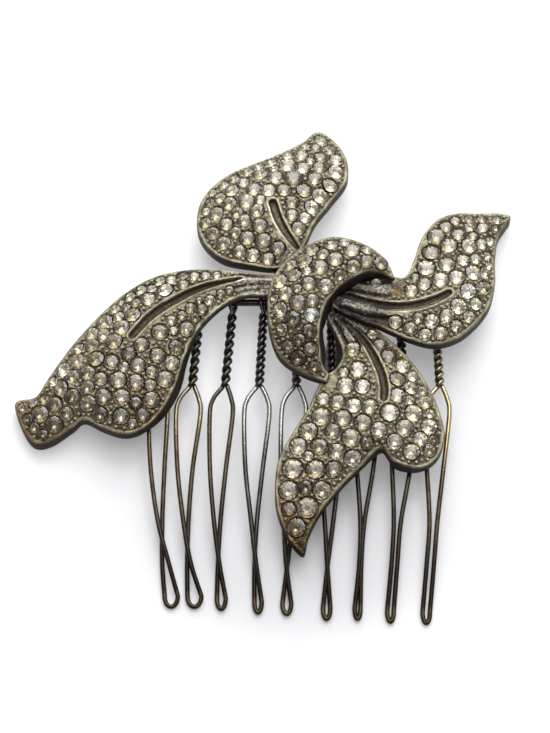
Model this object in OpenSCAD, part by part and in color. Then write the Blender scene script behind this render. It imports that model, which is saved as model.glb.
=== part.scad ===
// Bridal hair comb: a spray of paved cast petals on a wire comb of nine twisted teeth.
// It lies face up, as on a table: +Z is up, the teeth point to -Y, and z = 0 is the table.
// The origin is under the middle of the comb's box. All sizes are in millimetres.

/* [Teeth] */
// Diameter of the wire that each tooth is bent from
wire_d = 0.65; // [0.55:0.01:0.68]
// Distance of a strand's axis from the axis of its twisted pair
strand_r = 0.36; // [0.36:0.01:0.40]
// Half the height by which one leg passes over the other where they cross
cross_lift = 0.38; // [0.36:0.01:0.42]
// Length of the bend at a tooth's tip
tip_bend = 1.4; // [1.0:0.1:1.8]

/* [Bar] */
// Diameter of the bar that the teeth are wrapped on
bar_d = 1.0; // [0.8:0.05:1.1]
// Height of the bar's axis above the table
bar_z = 3.6; // [3.5:0.05:3.65]
// Space between the bar and the wire wrapped round it
wrap_gap = 0.06; // [0.05:0.01:0.08]
// How far the bar runs past its outer teeth
bar_past = 1.6; // [1.2:0.1:2.4]

/* [Mounting strip] */
// Thickness of the strip that the petals are soldered to
strip_t = 0.35; // [0.25:0.05:0.35]
// Width of the strip across the bar
strip_w = 2.4; // [2.0:0.1:2.4]
// Radius of the solder posts between the strip and the petals
post_r = 0.8; // [0.6:0.1:0.8]

/* [Petals] */
// Thickness of the cast wall under the stones
petal_wall = 0.9; // [0.8:0.05:0.95]
// Thickness of the rim that turns down round each petal
rim_wall = 0.8; // [0.7:0.05:0.9]
// Half the width of the open channel along a petal's midrib
channel_half = 0.5; // [0.4:0.05:0.6]
// Depth of that channel
channel_depth = 0.6; // [0.5:0.05:0.7]
// How full the petals swell between rim and midrib
swell = 1.8; // [1.6:0.1:2.0]

/* [Hidden] */
bar_y = 9.2;
wire_r = wire_d / 2;
bar_r = bar_d / 2;
wrap_r = bar_r + wire_r + wrap_gap;
bar_top = bar_z + bar_r + wire_d + wrap_gap;
strip_z = bar_top + 0.1;
wire_sides = 6;
rings_per_turn = 6;
curve_steps = 2;
curl_steps = 3;

// One row per tooth: where it meets the bar, where its strands part, the turns of its twist,
// the y of its tip, and the x of its left and right leg at the five stations of leg_y()
BAR_X = 0;
SPLIT_X = 1;
TURNS = 2;
TIP_Y = 3;
CROSSES = 4;
LEFT = 5;
RIGHT = 6;
TEETH = [
    // bar_x, split_x, turns, tip_y, crosses, left leg, right leg
    [-14.2, -15.1, 4, -34.7, 1, [-16.5, -16.1, -15.0, -13.4, -12.1], [-13.9, -14.2, -14.4, -14.3, -13.9]],
    [-9.5, -10.5, 4, -34.7, 1, [-12.7, -12.4, -11.5, -10.4, -8.9], [-9.3, -10.3, -10.8, -10.9, -10.8]],
    [-4.9, -5.9, 4, -35.0, 1, [-8.0, -7.9, -7.3, -6.5, -5.6], [-4.8, -5.7, -6.4, -6.7, -6.8]],
    [-0.5, -1.1, 6, -35.5, 1, [-3.2, -3.0, -2.2, -1.5, -0.7], [0.3, -0.6, -1.4, -1.7, -1.7]],
    [4.3, 4.1, 5, -35.7, 1, [2.0, 1.9, 2.3, 2.6, 3.3], [5.4, 4.4, 3.5, 2.8, 2.1]],
    [9.0, 9.2, 5, -36.4, 1, [7.0, 7.4, 7.9, 8.2, 8.6], [10.6, 10.0, 9.1, 8.3, 7.6]],
    [13.9, 14.1, 5, -36.4, 1, [12.0, 12.4, 12.8, 12.6, 11.9], [15.6, 14.7, 13.4, 12.9, 12.7]],
    [18.8, 19.1, 5, -36.8, 0, [17.1, 17.3, 17.4, 17.0, 16.3], [20.7, 19.8, 18.4, 17.8, 17.2]],
    [23.8, 24.2, 5, -37.0, 0, [22.0, 22.1, 22.3, 21.8, 21.1], [25.4, 24.4, 23.4, 22.8, 22.1]]
];
split_y = -3.5;
tip_z = wire_r;
bar_x0 = TEETH[0][BAR_X] - bar_past;
bar_x1 = TEETH[8][BAR_X] + bar_past;

// Rows of a petal's rim, from its root and anticlockwise seen from above
// Columns: x, y, height of the rim's top, depth of the rim's outer wall, part of the midrib that it faces
UPPER_RIM = [
    [4.9, 15.8, 7.1, 1.4, 0],
    [6.8, 20.2, 6.7, 1.6, 0.25],
    [9.2, 24.0, 5.9, 1.8, 0.5],
    [11.5, 28.0, 4.9, 1.9, 0.7],
    [11.5, 32.0, 4.0, 2.0, 0.85],
    [9.8, 35.5, 3.0, 2.2, 0.97],
    [7.3, 37.3, 2.4, 2.4, 1],
    [5.0, 35.2, 2.9, 2.3, 1],
    [1.0, 32.6, 3.8, 2.0, 0.93],
    [-5.6, 29.2, 4.5, 2.0, 0.82],
    [-9.2, 25.4, 4.8, 2.0, 0.7],
    [-10.1, 21.2, 5.0, 2.0, 0.6],
    [-9.1, 17.7, 5.5, 2.0, 0.5],
    [-6.4, 14.9, 6.1, 2.0, 0.36],
    [-2.6, 13.6, 6.7, 1.8, 0.18],
    [1.8, 13.0, 7.1, 1.4, 0]
];
LEFT_RIM = [
    [2.2, 11.6, 6.6, 1.1, 0],
    [-2.5, 12.5, 6.6, 1.1, 0.1],
    [-7.1, 13.1, 6.4, 1.6, 0.24],
    [-11.8, 13.2, 6.0, 1.8, 0.36],
    [-16.3, 12.2, 5.6, 1.9, 0.46],
    [-20.4, 9.7, 5.3, 2.0, 0.54],
    [-24.0, 6.2, 5.0, 2.0, 0.63],
    [-27.3, 2.3, 4.5, 2.0, 0.74],
    [-30.4, -2.0, 3.6, 2.2, 0.86],
    [-32.4, -4.9, 2.8, 2.3, 0.95],
    [-35.2, -5.6, 2.4, 2.4, 1],
    [-34.3, -9.0, 2.4, 2.4, 1],
    [-32.5, -11.6, 2.4, 2.4, 1],
    [-30.0, -11.6, 2.8, 2.2, 0.97],
    [-27.0, -9.9, 3.6, 2.0, 0.89],
    [-25.3, -9.0, 4.3, 1.8, 0.82],
    [-22.5, -10.5, 4.8, 1.8, 0.75],
    [-19.6, -11.4, 5.0, 1.8, 0.68],
    [-17.0, -10.6, 5.2, 1.8, 0.63],
    [-14.5, -8.0, 5.3, 1.8, 0.58],
    [-12.6, -4.0, 5.5, 1.8, 0.52],
    [-11.3, 0.4, 5.7, 1.7, 0.44],
    [-9.6, 4.0, 5.9, 1.5, 0.36],
    [-6.5, 7.2, 6.2, 1.1, 0.25],
    [-3.2, 8.8, 6.5, 0.9, 0.14],
    [1.4, 9.0, 6.6, 1.0, 0]
];
RIGHT_RIM = [
    [9.3, 6.6, 7.6, 1.0, 0],
    [12.5, 4.9, 7.7, 1.0, 0.08],
    [16.0, 3.4, 7.6, 1.1, 0.2],
    [20.0, 1.8, 7.2, 1.3, 0.35],
    [23.5, 1.3, 6.7, 1.6, 0.46],
    [26.8, 2.6, 6.1, 1.8, 0.55],
    [29.4, 5.0, 5.6, 1.9, 0.63],
    [31.4, 8.0, 5.1, 2.0, 0.7],
    [32.3, 11.5, 4.7, 2.0, 0.78],
    [32.5, 15.5, 4.2, 2.0, 0.88],
    [33.2, 19.5, 3.4, 2.2, 0.97],
    [34.5, 22.0, 2.7, 2.3, 1],
    [35.2, 23.5, 2.4, 2.4, 1],
    [33.4, 23.8, 2.8, 2.3, 1],
    [30.3, 23.4, 3.6, 2.1, 0.96],
    [27.0, 22.9, 4.6, 1.9, 0.87],
    [24.3, 21.5, 5.2, 1.8, 0.78],
    [22.1, 18.5, 5.9, 1.7, 0.68],
    [20.8, 14.6, 6.6, 1.5, 0.54],
    [19.4, 11.6, 7.1, 1.2, 0.38],
    [16.5, 10.7, 7.5, 1.1, 0.24],
    [13.0, 10.3, 7.7, 1.1, 0.1],
    [9.5, 9.4, 7.7, 1.0, 0],
    [8.4, 8.0, 7.6, 1.0, 0]
];
LOWER_RIM = [
    [8.4, 5.7, 6.5, 1.0, 0],
    [9.5, 3.0, 6.5, 1.1, 0.1],
    [10.4, 0.5, 6.4, 1.3, 0.21],
    [10.5, -2.0, 6.4, 1.5, 0.32],
    [8.9, -4.7, 6.2, 1.6, 0.42],
    [5.8, -8.2, 6.0, 1.6, 0.54],
    [3.4, -11.6, 5.7, 1.6, 0.64],
    [1.6, -15.2, 5.3, 1.6, 0.73],
    [1.1, -19.0, 4.9, 1.6, 0.81],
    [1.4, -22.5, 4.5, 1.6, 0.9],
    [2.8, -26.0, 4.1, 1.6, 0.98],
    [4.9, -28.4, 3.9, 1.5, 1],
    [5.7, -25.8, 4.2, 1.6, 0.98],
    [7.4, -22.5, 4.6, 1.6, 0.92],
    [10.2, -19.0, 4.9, 1.6, 0.82],
    [13.4, -15.8, 5.3, 1.6, 0.72],
    [15.7, -13.7, 5.6, 1.6, 0.64],
    [17.3, -15.5, 5.4, 1.6, 0.59],
    [20.8, -16.4, 5.0, 1.6, 0.55],
    [23.4, -14.8, 4.8, 1.6, 0.52],
    [24.5, -11.7, 4.9, 1.6, 0.49],
    [24.0, -8.5, 5.2, 1.6, 0.45],
    [22.7, -5.0, 5.5, 1.6, 0.4],
    [21.0, -2.0, 5.8, 1.5, 0.34],
    [18.5, 0.6, 6.0, 1.3, 0.27],
    [15.5, 2.8, 6.1, 1.2, 0.19],
    [12.0, 4.7, 6.5, 1.0, 0.1],
    [9.6, 6.1, 6.5, 1.0, 0]
];

// Rows of a petal's midrib, from its root to its end: an open channel that runs out into a shallow crease
// Columns: x, y, height of the lips, share of the channel's full width and depth
UPPER_RIB = [
    [3.6, 15.8, 7.2, 1], [3.0, 17.7, 7.4, 1], [1.7, 20.2, 7.7, 1], [0.7, 23.3, 7.7, 1],
    [2.3, 27.5, 7.0, 0.4], [5.5, 32.2, 5.4, 0.3]
];
LEFT_RIB = [
    [1.0, 10.4, 6.9, 1], [-4.7, 11.0, 7.1, 1], [-12.5, 8.2, 7.4, 1], [-18.8, 2.3, 7.3, 1],
    [-24.5, -3.2, 6.3, 0.4], [-30.5, -7.4, 4.2, 0.3]
];
RIGHT_RIB = [
    [10.5, 8.2, 8.0, 1], [15.8, 6.6, 8.2, 1], [21.1, 6.5, 8.1, 1], [25.8, 9.0, 7.7, 1],
    [28.4, 13.5, 6.8, 0.4], [30.6, 18.7, 5.3, 0.3]
];
LOWER_RIB = [
    [9.8, 4.8, 6.9, 1], [12.6, 2.6, 7.0, 1], [15.5, -1.9, 7.1, 1], [16.1, -7.0, 7.2, 1],
    [12.8, -12.3, 6.7, 0.4], [7.8, -18.0, 5.8, 0.3], [4.7, -24.0, 4.9, 0.3]
];

// Rows across the curled petal, from its right end round to its lower end
// Columns: outer edge x, y, z, inner edge x, y, z, swell over the middle, depths of outer and inner wall
CURL_ROWS = [
    [17.9, 10.6, 8.9, 17.4, 10.4, 8.9, 0.1, 0.8, 0.7],
    [16.6, 13.5, 8.9, 15.8, 11.1, 9.4, 0.8, 1.0, 0.9],
    [13.8, 15.8, 8.9, 13.5, 10.8, 10.0, 1.3, 1.3, 1.3],
    [9.3, 17.0, 8.9, 10.6, 9.0, 10.3, 1.6, 1.3, 1.6],
    [4.6, 15.1, 8.9, 8.7, 6.8, 10.2, 1.6, 1.3, 1.6],
    [0.8, 10.8, 8.8, 7.7, 4.4, 10.0, 1.6, 1.3, 1.9],
    [0.0, 5.2, 8.5, 7.3, 1.7, 9.5, 1.5, 1.4, 2.2],
    [1.4, -0.5, 7.8, 7.5, -0.7, 8.6, 1.2, 1.5, 2.0],
    [4.7, -3.2, 7.3, 7.8, -2.2, 7.7, 0.7, 1.4, 1.4],
    [8.2, -4.5, 7.0, 8.7, -3.2, 7.0, 0.1, 1.2, 1.2]
];
curl_wall = 0.9;
// Parts of a row's width at which the curl's upper face is drawn
CURL_PARTS = [0.2, 0.5, 0.8];
// Parts of the way from rim to channel at which a petal's upper face is drawn
TOP_PARTS = [0.06, 0.3, 0.55, 0.8];

// Posts from the strip to the petals' undersides: x, y, height of the post's top
POSTS = [[2.6, 14.0, 5.5], [12.6, 9.3, 6.4], [18.1, 9.2, 6.5]];
// Tongues of the strip below the roots of the upper and the lower petal: x, y, width, length
TONGUES = [[1.0, 10.0, 3.2, 5.2], [9.4, 4.4, 2.8, 5.6]];
strip_x0 = -12.0;
strip_x1 = 22.0;
strip_y0 = 9.2;

$fn = 48;

function mix(a, b, t) = a + (b - a) * t;
function unit(v) = v / norm(v);
function last(v) = v[len(v) - 1];
function reversed(v) = [for (i = [len(v) - 1:-1:0]) v[i]];

// A point between b and c on the smooth curve through a, b, c and d
function curve(a, b, c, d, t) =
    b + (c - a) * t / 2
    + (2 * a - 5 * b + 4 * c - d) * t * t / 2
    + (3 * b - a - 3 * c + d) * t * t * t / 2;

// The smooth closed curve through rows, with steps points for each row
function closed_curve(rows, steps) = let (n = len(rows)) [
    for (i = [0:n - 1]) for (k = [0:steps - 1])
        curve(rows[(i + n - 1) % n], rows[i], rows[(i + 1) % n], rows[(i + 2) % n], k / steps)
];

// The point at the fraction f of the smooth open curve through rows
function along(rows, f) =
    let (n = len(rows), s = min(floor(f * (n - 1)), n - 2), t = f * (n - 1) - s)
    curve(rows[max(s - 1, 0)], rows[s], rows[s + 1], rows[min(s + 2, n - 1)], t);

// The smooth open curve through rows, ends included
function open_curve(rows, steps) = let (n = (len(rows) - 1) * steps) [
    for (k = [0:n]) along(rows, k / n)
];

// Two triangles for each side of a band between ring a and ring b of n points
function band(a, b, n) = [
    for (i = [0:n - 1]) let (j = (i + 1) % n)
        each [[a + i, b + i, a + j], [a + j, b + i, b + j]]
];

// Whether the left side of the strip that closes a ring is the next to move on, from the pair of points s
function left_next(places, s) = places[s[0] + 1] <= places[s[1] - 1];

// The triangles of that strip, from the ring's first and last points up to where its sides meet.
// places has each point's place along the strip
function closing(places) = [
    for (s = [0, len(places) - 1]; s[1] - s[0] > 1; s = left_next(places, s) ? [s[0] + 1, s[1]] : [s[0], s[1] - 1])
        [s[0], s[1], left_next(places, s) ? s[0] + 1 : s[1] - 1]
];

// A cast petal: a swollen hollow shell whose rim turns down and whose midrib is an open channel
module petal(rim_rows, rib_rows) {
    rim = closed_curve(rim_rows, curve_steps);
    n = len(rim);
    places = [for (point = rim) max(0, min(1, point[4]))];
    rib = [for (place = places) along(rib_rows, place)];
    reach = [for (i = [0:n - 1]) norm([rim[i].x - rib[i].x, rim[i].y - rib[i].y])];
    lip = [for (i = [0:n - 1]) 1 - min(0.5, channel_half * rib[i][3] / reach[i])];
    inside = [for (i = [0:n - 1]) min(0.4, rim_wall / reach[i])];
    between = (inside + lip) / 2;
    foot = [for (point = rim) max(0, point.z - point[3])];
    bed = [for (point = rib) point.z - channel_depth * point[3]];

    function face_z(i, s) = mix(rim[i].z, rib[i].z, 1 - pow(1 - s, swell));
    function at(i, s, z) = [mix(rim[i].x, rib[i].x, s), mix(rim[i].y, rib[i].y, s), z];

    rings = concat(
        [[for (i = [0:n - 1]) at(i, lip[i], bed[i] - petal_wall)]],
        [[for (i = [0:n - 1]) at(i, between[i], face_z(i, between[i]) - petal_wall)]],
        [[for (i = [0:n - 1]) at(i, inside[i], face_z(i, inside[i]) - petal_wall)]],
        [[for (i = [0:n - 1]) at(i, inside[i], foot[i])]],
        [[for (i = [0:n - 1]) at(i, 0, foot[i])]],
        [[for (i = [0:n - 1]) at(i, 0, rim[i].z)]],
        [for (part = TOP_PARTS) [for (i = [0:n - 1]) at(i, part * lip[i], face_z(i, part * lip[i]))]],
        [[for (i = [0:n - 1]) at(i, lip[i], rib[i].z)]],
        [[for (i = [0:n - 1]) at(i, lip[i], bed[i])]]
    );
    count = len(rings);
    bed_ring = (count - 1) * n;
    strip = closing(places);
    faces = concat(
        [for (k = [0:count - 2]) each band(k * n, (k + 1) * n, n)],
        [for (t = strip) [bed_ring + t[0], bed_ring + t[1], bed_ring + t[2]]],
        [for (t = strip) [t[0], t[2], t[1]]]
    );
    polyhedron(points = [for (ring = rings) each ring], faces = faces);
}

module upper_petal() {
    color("#8f8a7c") petal(UPPER_RIM, UPPER_RIB);
}

module left_petal() {
    color("#86806f") petal(LEFT_RIM, LEFT_RIB);
}

module right_petal() {
    color("#8f8a7c") petal(RIGHT_RIM, RIGHT_RIB);
}

module lower_petal() {
    color("#847a66") petal(LOWER_RIM, LOWER_RIB);
}

// The curled petal: an arched band that folds over the roots of the others
module centre_curl() {
    rows = open_curve(CURL_ROWS, curl_steps);
    n = len(rows);
    width = [for (r = rows) norm([r[0] - r[3], r[1] - r[4]])];
    edge = [for (w = width) min(0.3, rim_wall / w)];
    function face_z(i, u) = mix(rows[i][2], rows[i][5], u) + rows[i][6] * 4 * u * (1 - u);
    function at(i, u, z) = [mix(rows[i][0], rows[i][3], u), mix(rows[i][1], rows[i][4], u), z];
    function outer_foot(i) = rows[i][2] - rows[i][7];
    function inner_foot(i) = rows[i][5] - rows[i][8];
    function under(i, u, foot) = at(i, u, max(face_z(i, u) - curl_wall, foot + 0.1));
    function upper_chain(i) = concat(
        [at(i, 0, outer_foot(i)), at(i, 0, rows[i][2])],
        [for (u = CURL_PARTS) at(i, u, face_z(i, u))],
        [at(i, 1, rows[i][5]), at(i, 1, inner_foot(i))]
    );
    function lower_chain(i) = concat(
        [at(i, edge[i], outer_foot(i)), under(i, edge[i], outer_foot(i))],
        [for (u = CURL_PARTS) under(i, mix(edge[i], 1 - edge[i], u), 0)],
        [under(i, 1 - edge[i], inner_foot(i)), at(i, 1 - edge[i], inner_foot(i))]
    );
    chain = 4 + len(CURL_PARTS);
    ring = 2 * chain;
    points = [for (i = [0:n - 1]) each concat(upper_chain(i), reversed(lower_chain(i)))];
    last_ring = (n - 1) * ring;
    faces = concat(
        [for (i = [0:n - 2]) each band((i + 1) * ring, i * ring, ring)],
        [for (k = [0:chain - 2]) each [
            [k, ring - 1 - k, k + 1],
            [k + 1, ring - 1 - k, ring - 2 - k]
        ]],
        [for (k = [0:chain - 2]) each [
            [last_ring + k, last_ring + k + 1, last_ring + ring - 1 - k],
            [last_ring + k + 1, last_ring + ring - 2 - k, last_ring + ring - 1 - k]
        ]]
    );
    color("#827d70") polyhedron(points = points, faces = faces);
}

// The hidden strip that the petals are soldered to, just above the wrapped bar
module mounting_strip() {
    color("#6d6a66") union() {
        translate([strip_x0, strip_y0, strip_z]) cube([strip_x1 - strip_x0, strip_w, strip_t]);
        for (tongue = TONGUES) translate([tongue.x, tongue.y, strip_z]) cube([tongue[2], tongue[3], strip_t]);
        for (post = POSTS) translate([post.x, post.y, strip_z]) cylinder(h = post.z - strip_z, r = post_r);
    }
}

module comb_bar() {
    color("#4c4a48")
        translate([bar_x0, bar_y, bar_z]) rotate([0, 90, 0]) cylinder(h = bar_x1 - bar_x0, r = bar_r);
}

// Frames carried along a path without turning about it: one normal for each point
function carried(normal, tangent) = unit(normal - (normal * tangent) * tangent);
function path_tangents(path) = [
    for (i = [0:len(path) - 1]) unit(path[min(i + 1, len(path) - 1)] - path[max(i - 1, 0)])
];
function path_normals(tangents) = [
    for (i = 0, v = carried([1, 0, 0], tangents[0]); i < len(tangents);
        i = i + 1, v = carried(v, tangents[min(i, len(tangents) - 1)])) v
];

// A round wire of radius r along a path
module wire(path, r) {
    tangents = path_tangents(path);
    normals = path_normals(tangents);
    n = len(path);
    points = [
        for (i = [0:n - 1]) for (k = [0:wire_sides - 1]) let (a = 360 * k / wire_sides)
            path[i] + r * (cos(a) * normals[i] + sin(a) * cross(tangents[i], normals[i]))
    ];
    end = (n - 1) * wire_sides;
    faces = concat(
        [for (i = [0:n - 2]) each band(i * wire_sides, (i + 1) * wire_sides, wire_sides)],
        [for (k = [1:wire_sides - 2]) [0, k, k + 1]],
        [for (k = [1:wire_sides - 2]) [end, end + k + 1, end + k]]
    );
    polyhedron(points = points, faces = faces);
}

// Height of a tooth's middle line: level near the bar and falling to the table at the tip
function tooth_z(tooth, y) =
    tip_z + (bar_z - tip_z) * pow(max(0, (y - tooth[TIP_Y]) / (bar_y - tooth[TIP_Y])), 0.75);

// The stations of a leg, from its eye to the start of the bend at the tip
function leg_y(tooth) = [-7.6, -15.3, -22.8, -28.8, tooth[TIP_Y] + tip_bend];
// Parts of cross_lift by which the left leg is raised and the right leg lowered at the stations
LEG_LIFT = [0, 0.4, 1, 1, 0.3];
shoulder_y = -5.2;
shoulder_part = 0.72;
twist_y = bar_y - 1.7;

// A leg from just below the twist to its tip's bend; side is -1 for left and 1 for right
function leg(tooth, xs, side) =
    let (
        ys = leg_y(tooth),
        start_x = tooth[SPLIT_X] + side * strand_r,
        rows = concat(
            [[start_x, split_y, tooth_z(tooth, split_y)]],
            [[mix(start_x, xs[0], shoulder_part), shoulder_y, tooth_z(tooth, shoulder_y)]],
            [for (k = [0:len(ys) - 1])
                [xs[k], ys[k], tooth_z(tooth, ys[k]) - side * LEG_LIFT[k] * cross_lift * tooth[CROSSES]]]
        )
    )
    open_curve(rows, curve_steps);

// The round bend at the tip, from the end of the left leg to the end of the right leg
function tip_points(from, to, tip_y) = [
    for (a = [30:30:150]) [
        mix(from.x, to.x, (1 - cos(a)) / 2),
        mix(from.y, tip_y, sin(a)),
        mix(mix(from.z, to.z, a / 180), tip_z, sin(a))
    ]
];

// A strand of the twist, from the bar to where the strands part
function strand(tooth, side) =
    let (
        sweep = tooth[TURNS] * 360 + 90,
        steps = round(sweep / 360 * rings_per_turn),
        r = strand_r / cos(180 / rings_per_turn),
        top = [tooth[BAR_X], twist_y, tooth_z(tooth, twist_y)],
        split = [tooth[SPLIT_X], split_y, tooth_z(tooth, split_y)]
    )
    [for (k = [0:steps - 1]) let (f = k / steps, a = 90 + sweep * f)
        mix(top, split, f) - side * r * [cos(a), 0, sin(a)]];

// The end of a strand, wrapped round the bar from below or above
function wrap(tooth, side) = [
    for (a = [-80:40:120])
        [tooth[BAR_X] + side * 0.4, bar_y + wrap_r * cos(a), bar_z - side * wrap_r * sin(a)]
];

function tooth_path(tooth) =
    let (left = leg(tooth, tooth[LEFT], -1), right = leg(tooth, tooth[RIGHT], 1))
    concat(
        wrap(tooth, -1), strand(tooth, -1), left,
        tip_points(last(left), last(right), tooth[TIP_Y]),
        reversed(right), reversed(strand(tooth, 1)), reversed(wrap(tooth, 1))
    );

module tooth(number) {
    color("#6f6857") wire(tooth_path(TEETH[number - 1]), wire_r);
}

upper_petal();
left_petal();
centre_curl();
right_petal();
lower_petal();
mounting_strip();
comb_bar();
tooth(1);  // tooth_1
tooth(2);  // tooth_2
tooth(3);  // tooth_3
tooth(4);  // tooth_4
tooth(5);  // tooth_5
tooth(6);  // tooth_6
tooth(7);  // tooth_7
tooth(8);  // tooth_8
tooth(9);  // tooth_9
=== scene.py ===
"""Visual model of a bridal hair comb: five paved cast petals on a wire comb of nine twisted teeth.

The comb lies face up on a pale table. +Z is up, the teeth point to -Y and z = 0 is the table. Charts of
shapes are in millimetres, and every mesh is made in metres. The castings are made in mesh code, because
their seats, lips and channels follow the stones and the petals' own outlines, which operators can't do.
Stones, beads, bar, strip and solder start from operators, and the teeth are bevelled curves.
"""

import logging
import math
import random
from collections.abc import Callable, Sequence
from dataclasses import dataclass, field
from enum import Enum

import bmesh
import bpy
import numpy as np
from mathutils import Matrix, Vector, noise
from mathutils.bvhtree import BVHTree
from mathutils.geometry import delaunay_2d_cdt
from mathutils.kdtree import KDTree


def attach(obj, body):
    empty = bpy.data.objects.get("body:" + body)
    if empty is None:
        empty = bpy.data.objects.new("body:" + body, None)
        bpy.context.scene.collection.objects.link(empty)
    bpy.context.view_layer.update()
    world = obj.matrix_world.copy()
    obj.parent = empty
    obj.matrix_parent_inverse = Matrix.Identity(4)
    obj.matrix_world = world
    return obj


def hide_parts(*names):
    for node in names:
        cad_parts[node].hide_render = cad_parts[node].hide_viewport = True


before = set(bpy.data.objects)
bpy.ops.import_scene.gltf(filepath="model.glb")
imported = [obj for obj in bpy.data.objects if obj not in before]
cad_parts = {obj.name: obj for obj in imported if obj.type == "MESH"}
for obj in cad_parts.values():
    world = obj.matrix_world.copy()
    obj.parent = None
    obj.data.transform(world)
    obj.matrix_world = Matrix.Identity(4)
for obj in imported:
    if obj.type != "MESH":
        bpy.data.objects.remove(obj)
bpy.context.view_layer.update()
MM = 0.001
LOG = logging.getLogger("comb")
Array = np.ndarray
Piece = bpy.types.Object
Socket = bpy.types.NodeSocket
Rows = Sequence[Sequence[float]]
Pair = tuple[float, float]
Colour = tuple[float, float, float]
Pattern = tuple[float, float, float]
Oval = tuple[Pair, Pair, float, float]
WHITE = (1.0, 1.0, 1.0)
TO_CAMERA = (0.0, -0.39, 0.92)
LEVEL = 0.9
MERGED = 0.01
TINY = 1e-12
POINTS_AT_A_TIME = 4000
ROW_PART = 0.866
SHADE_END = 1.2


# Curves and distances


def curve(a: Array, b: Array, c: Array, d: Array, t: Array) -> Array:
    """Points between b and c on the smooth curves through a, b, c and d.

    Args:
        a, b, c, d: Rows of four neighbours in order.
        t: Part of the way from b to c, as a column.

    Returns:
        One row for each row given.
    """
    return (
        b
        + (c - a) * t / 2
        + (2 * a - 5 * b + 4 * c - d) * t**2 / 2
        + (3 * b - a - 3 * c + d) * t**3 / 2
    )


def closed_curve(rows: Rows, steps: int) -> Array:
    """The smooth closed curve through rows.

    Args:
        rows: The points that it passes, each with any further columns.
        steps: Points for each row.

    Returns:
        Its points.
    """
    points = np.array(rows, float)
    n = len(points)
    i = np.repeat(np.arange(n), steps)
    t = np.tile(np.arange(steps) / steps, n)[:, None]
    return curve(points[i - 1], points[i], points[(i + 1) % n], points[(i + 2) % n], t)


def along(rows: Rows, part: Array) -> Array:
    """Points of the smooth open curve through rows.

    Args:
        rows: The points that it passes, each with any further columns.
        part: Parts of its way, from 0 to 1.

    Returns:
        One row for each part.
    """
    points = np.array(rows, float)
    last = len(points) - 1
    place = np.clip(part, 0, 1) * last
    s = np.minimum(place.astype(int), last - 1)
    t = (place - s)[:, None]
    return curve(points[np.maximum(s - 1, 0)], points[s], points[s + 1], points[np.minimum(s + 2, last)], t)


def open_curve(rows: Rows, steps: int) -> Array:
    """The smooth open curve through rows, with a number of steps for each."""
    return along(rows, np.linspace(0, 1, (len(rows) - 1) * steps + 1))


def line_distance(points: Array, line: Array) -> tuple[Array, Array]:
    """Distance of plan points from a line of straight pieces.

    Args:
        points: The plan points.
        line: The line's points, two columns.

    Returns:
        The distances, and the place of each nearest point along the line from 0 to 1.
    """
    start, step = line[:-1], line[1:] - line[:-1]
    length = np.maximum((step**2).sum(1), TINY)
    far, place = np.empty(len(points)), np.empty(len(points))
    for low in range(0, len(points), POINTS_AT_A_TIME):
        some = slice(low, low + POINTS_AT_A_TIME)
        part = points[some, None, :] - start[None]
        t = np.clip((part * step).sum(2) / length, 0, 1)
        square = ((part - t[..., None] * step) ** 2).sum(2)
        best = square.argmin(1)
        here = np.arange(len(best))
        far[some] = np.sqrt(square[here, best])
        place[some] = (best + t[here, best]) / len(step)
    return far, place


def side_distance(points: Array, line: Array) -> Array:
    """Distance of plan points from the side of a line of x, y and half width, below zero within it."""
    far, place = line_distance(points, line[:, :2])
    return far - np.interp(place, np.linspace(0, 1, len(line)), line[:, 2])


def directions(line: Array) -> tuple[Array, Array]:
    """Vectors of length 1 along a plan line and across it.

    Args:
        line: The line's points.

    Returns:
        The two vectors at each point.
    """
    heading = np.gradient(line, axis=0)
    heading /= np.linalg.norm(heading, axis=1)[:, None]
    return heading, np.column_stack([-heading[:, 1], heading[:, 0]])


def within(points: Array, loop: Array) -> Array:
    """Whether each plan point is inside a closed loop.

    Args:
        points: The plan points.
        loop: The loop's points.

    Returns:
        True for each point inside.
    """
    inside = np.zeros(len(points), bool)
    x, y = points[:, 0], points[:, 1]
    for (ax, ay), (bx, by) in zip(loop, np.roll(loop, -1, axis=0)):
        if ay != by:
            inside ^= ((ay > y) != (by > y)) & (x < (bx - ax) * (y - ay) / (by - ay) + ax)
    return inside


def hex_grid(loop: Array, pitch: float) -> Array:
    """Plan points of a triangular grid over a loop's box.

    Args:
        loop: The loop's points.
        pitch: The grid's pitch.

    Returns:
        The grid's points.
    """
    low, high = loop.min(0), loop.max(0)
    points = [
        (x, y)
        for k, y in enumerate(np.arange(low[1], high[1], pitch * ROW_PART))
        for x in np.arange(low[0] + pitch * 0.5 * (k % 2), high[0], pitch)
    ]
    return np.array(points)


def plan_distance(points: Array, x: float, y: float) -> Array:
    """Distance in plan of points from a place."""
    return np.hypot(points[:, 0] - x, points[:, 1] - y)


def fade(value: Array, start: float, width: float) -> Array:
    """How far values have come past a start, as parts of a width that may be below zero."""
    return np.clip((value - start) / width, 0, 1)


def shade(places: Rows, points: Array) -> Array:
    """How strongly places bear on points.

    Args:
        places: x, y, reach and strength of each place.
        points: The points.

    Returns:
        The strength at each point, which is gone a little past a place's reach.
    """
    result = np.zeros(len(points))
    for x, y, reach, strength in places:
        part = np.clip(SHADE_END - plan_distance(points, x, y) / reach, 0, 1)
        result = np.maximum(result, strength * part)
    return result


def cloud(plan: Array, per_mm: float, layer: float) -> Array:
    """A cloudy pattern over plan points, another one for each layer."""
    return np.array([noise.noise(Vector((x * per_mm, y * per_mm, layer))) for x, y in plan])


def kd_tree(points: Array) -> KDTree:
    """A tree that finds the nearest of some points.

    Args:
        points: The points, three columns.

    Returns:
        The tree.
    """
    tree = KDTree(len(points))
    for i, point in enumerate(points):
        tree.insert(point, i)
    tree.balance()
    return tree


# Modelling steps


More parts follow.
